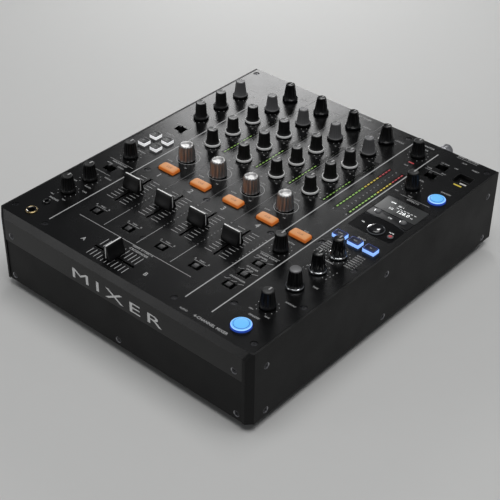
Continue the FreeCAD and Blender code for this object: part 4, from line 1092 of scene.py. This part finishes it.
for text, x, z, size in (
        ("MASTER", -81, 48, 2.6), ("1", -96, 13.5, 2.2), ("2", -66, 13.5, 2.2),
        ("BOOTH", -81, 75.5, 2.6), ("L", -96, 54.0, 2.0), ("R", -66, 54.0, 2.0),
        ("MIC 1", 122, 14.0, 2.2), ("MIC 2", 122, 80.5, 2.2), ("POWER", -132, 73.5, 2.2),
        ("AC IN", -132, 48.5, 2.2), ("GND", 92, 68.5, 2.2), ("L", -33.5, 47, 2.2),
        ("R", -33.5, 31, 2.2)):
    rear_label(text, x, z, size)
for number, x in enumerate(sorted(set(rca_columns))):
    name = ("REC", "AUX", "LINE 1", "LINE 2", "LINE 3", "LINE 4", "PHONO 1", "PHONO 2")
    rear_label(name[number % 8], x, 57.5, 1.8)
show("printed_lettering",
     ink.mesh("printed_lettering", [INK, FAINT_INK, RED_LED, YELLOW_LED, BRIGHT_INK]),
     "chassis")


# ------------------------------------------------------------------ floor, light and camera

floor_mesh = bpy.data.meshes.new("floor")
SPAN = 9.0                      # half the floor's side, in metres
floor_mesh.from_pydata([(-SPAN, -SPAN, 0), (SPAN, -SPAN, 0), (SPAN, SPAN, 0), (-SPAN, SPAN, 0)],
                       [], [(0, 1, 2, 3)])
floor = bpy.data.objects.new("floor", floor_mesh)
floor_mesh.materials.append(surface("studio_floor", (0.62, 0.62, 0.61), 0.7, grain=60,
                                    depth=0.0002, mottle=0.02, spread=0.05, specular=0.2,
                                    patch=3))
bpy.context.scene.collection.objects.link(floor)

WORLD_LIGHT = 0.12
world = bpy.data.worlds.new("studio")
bpy.context.scene.world = world
world.use_nodes = True
world.node_tree.nodes["Background"].inputs["Color"].default_value = (0.85, 0.88, 0.92, 1)
world.node_tree.nodes["Background"].inputs["Strength"].default_value = WORLD_LIGHT


def softbox(name, spot, target, wide, tall, power):
    light = bpy.data.lights.new(name, "AREA")
    light.shape = "RECTANGLE"
    light.size, light.size_y = wide, tall
    light.energy = power
    item = bpy.data.objects.new(name, light)
    item.location = spot
    item.rotation_euler = (Vector(target) - Vector(spot)).to_track_quat("-Z", "Y").to_euler()
    bpy.context.scene.collection.objects.link(item)


softbox("key", (-0.64, 0.76, 0.48), (-0.10, 0.10, 0.09), 0.36, 0.3, 2.7)
softbox("overhead", (0.35, -0.1, 2.3), (0.0, 0.0, 0.0), 1.8, 1.8, 38)
softbox("front_fill", (-1.5, -2.1, 0.7), (0.0, -0.1, 0.05), 1.0, 0.8, 5)

CAMERA_SPOT = Vector((0.6563, -0.7716, 0.7600))
CAMERA_TARGET = Vector((0.0286, -0.0441, 0.0500))
CAMERA_ROLL = 0.0142
CAMERA_LENS = 89.76
forward = (CAMERA_TARGET - CAMERA_SPOT).normalized()
level = forward.cross(Vector((0, 0, 1))).normalized()
upright = level.cross(forward)
right = level * math.cos(CAMERA_ROLL) + upright * math.sin(CAMERA_ROLL)
up = right.cross(forward)
camera_data = bpy.data.cameras.new("camera")
camera_data.sensor_width = 36
camera_data.lens = CAMERA_LENS
camera_data.clip_start = 0.01
camera = bpy.data.objects.new("camera", camera_data)
turned = Matrix((right, up, -forward)).transposed().to_4x4()
camera.matrix_world = Matrix.Translation(CAMERA_SPOT) @ turned
bpy.context.scene.collection.objects.link(camera)
bpy.context.scene.camera = camera
bpy.context.scene.view_settings.view_transform = "Standard"
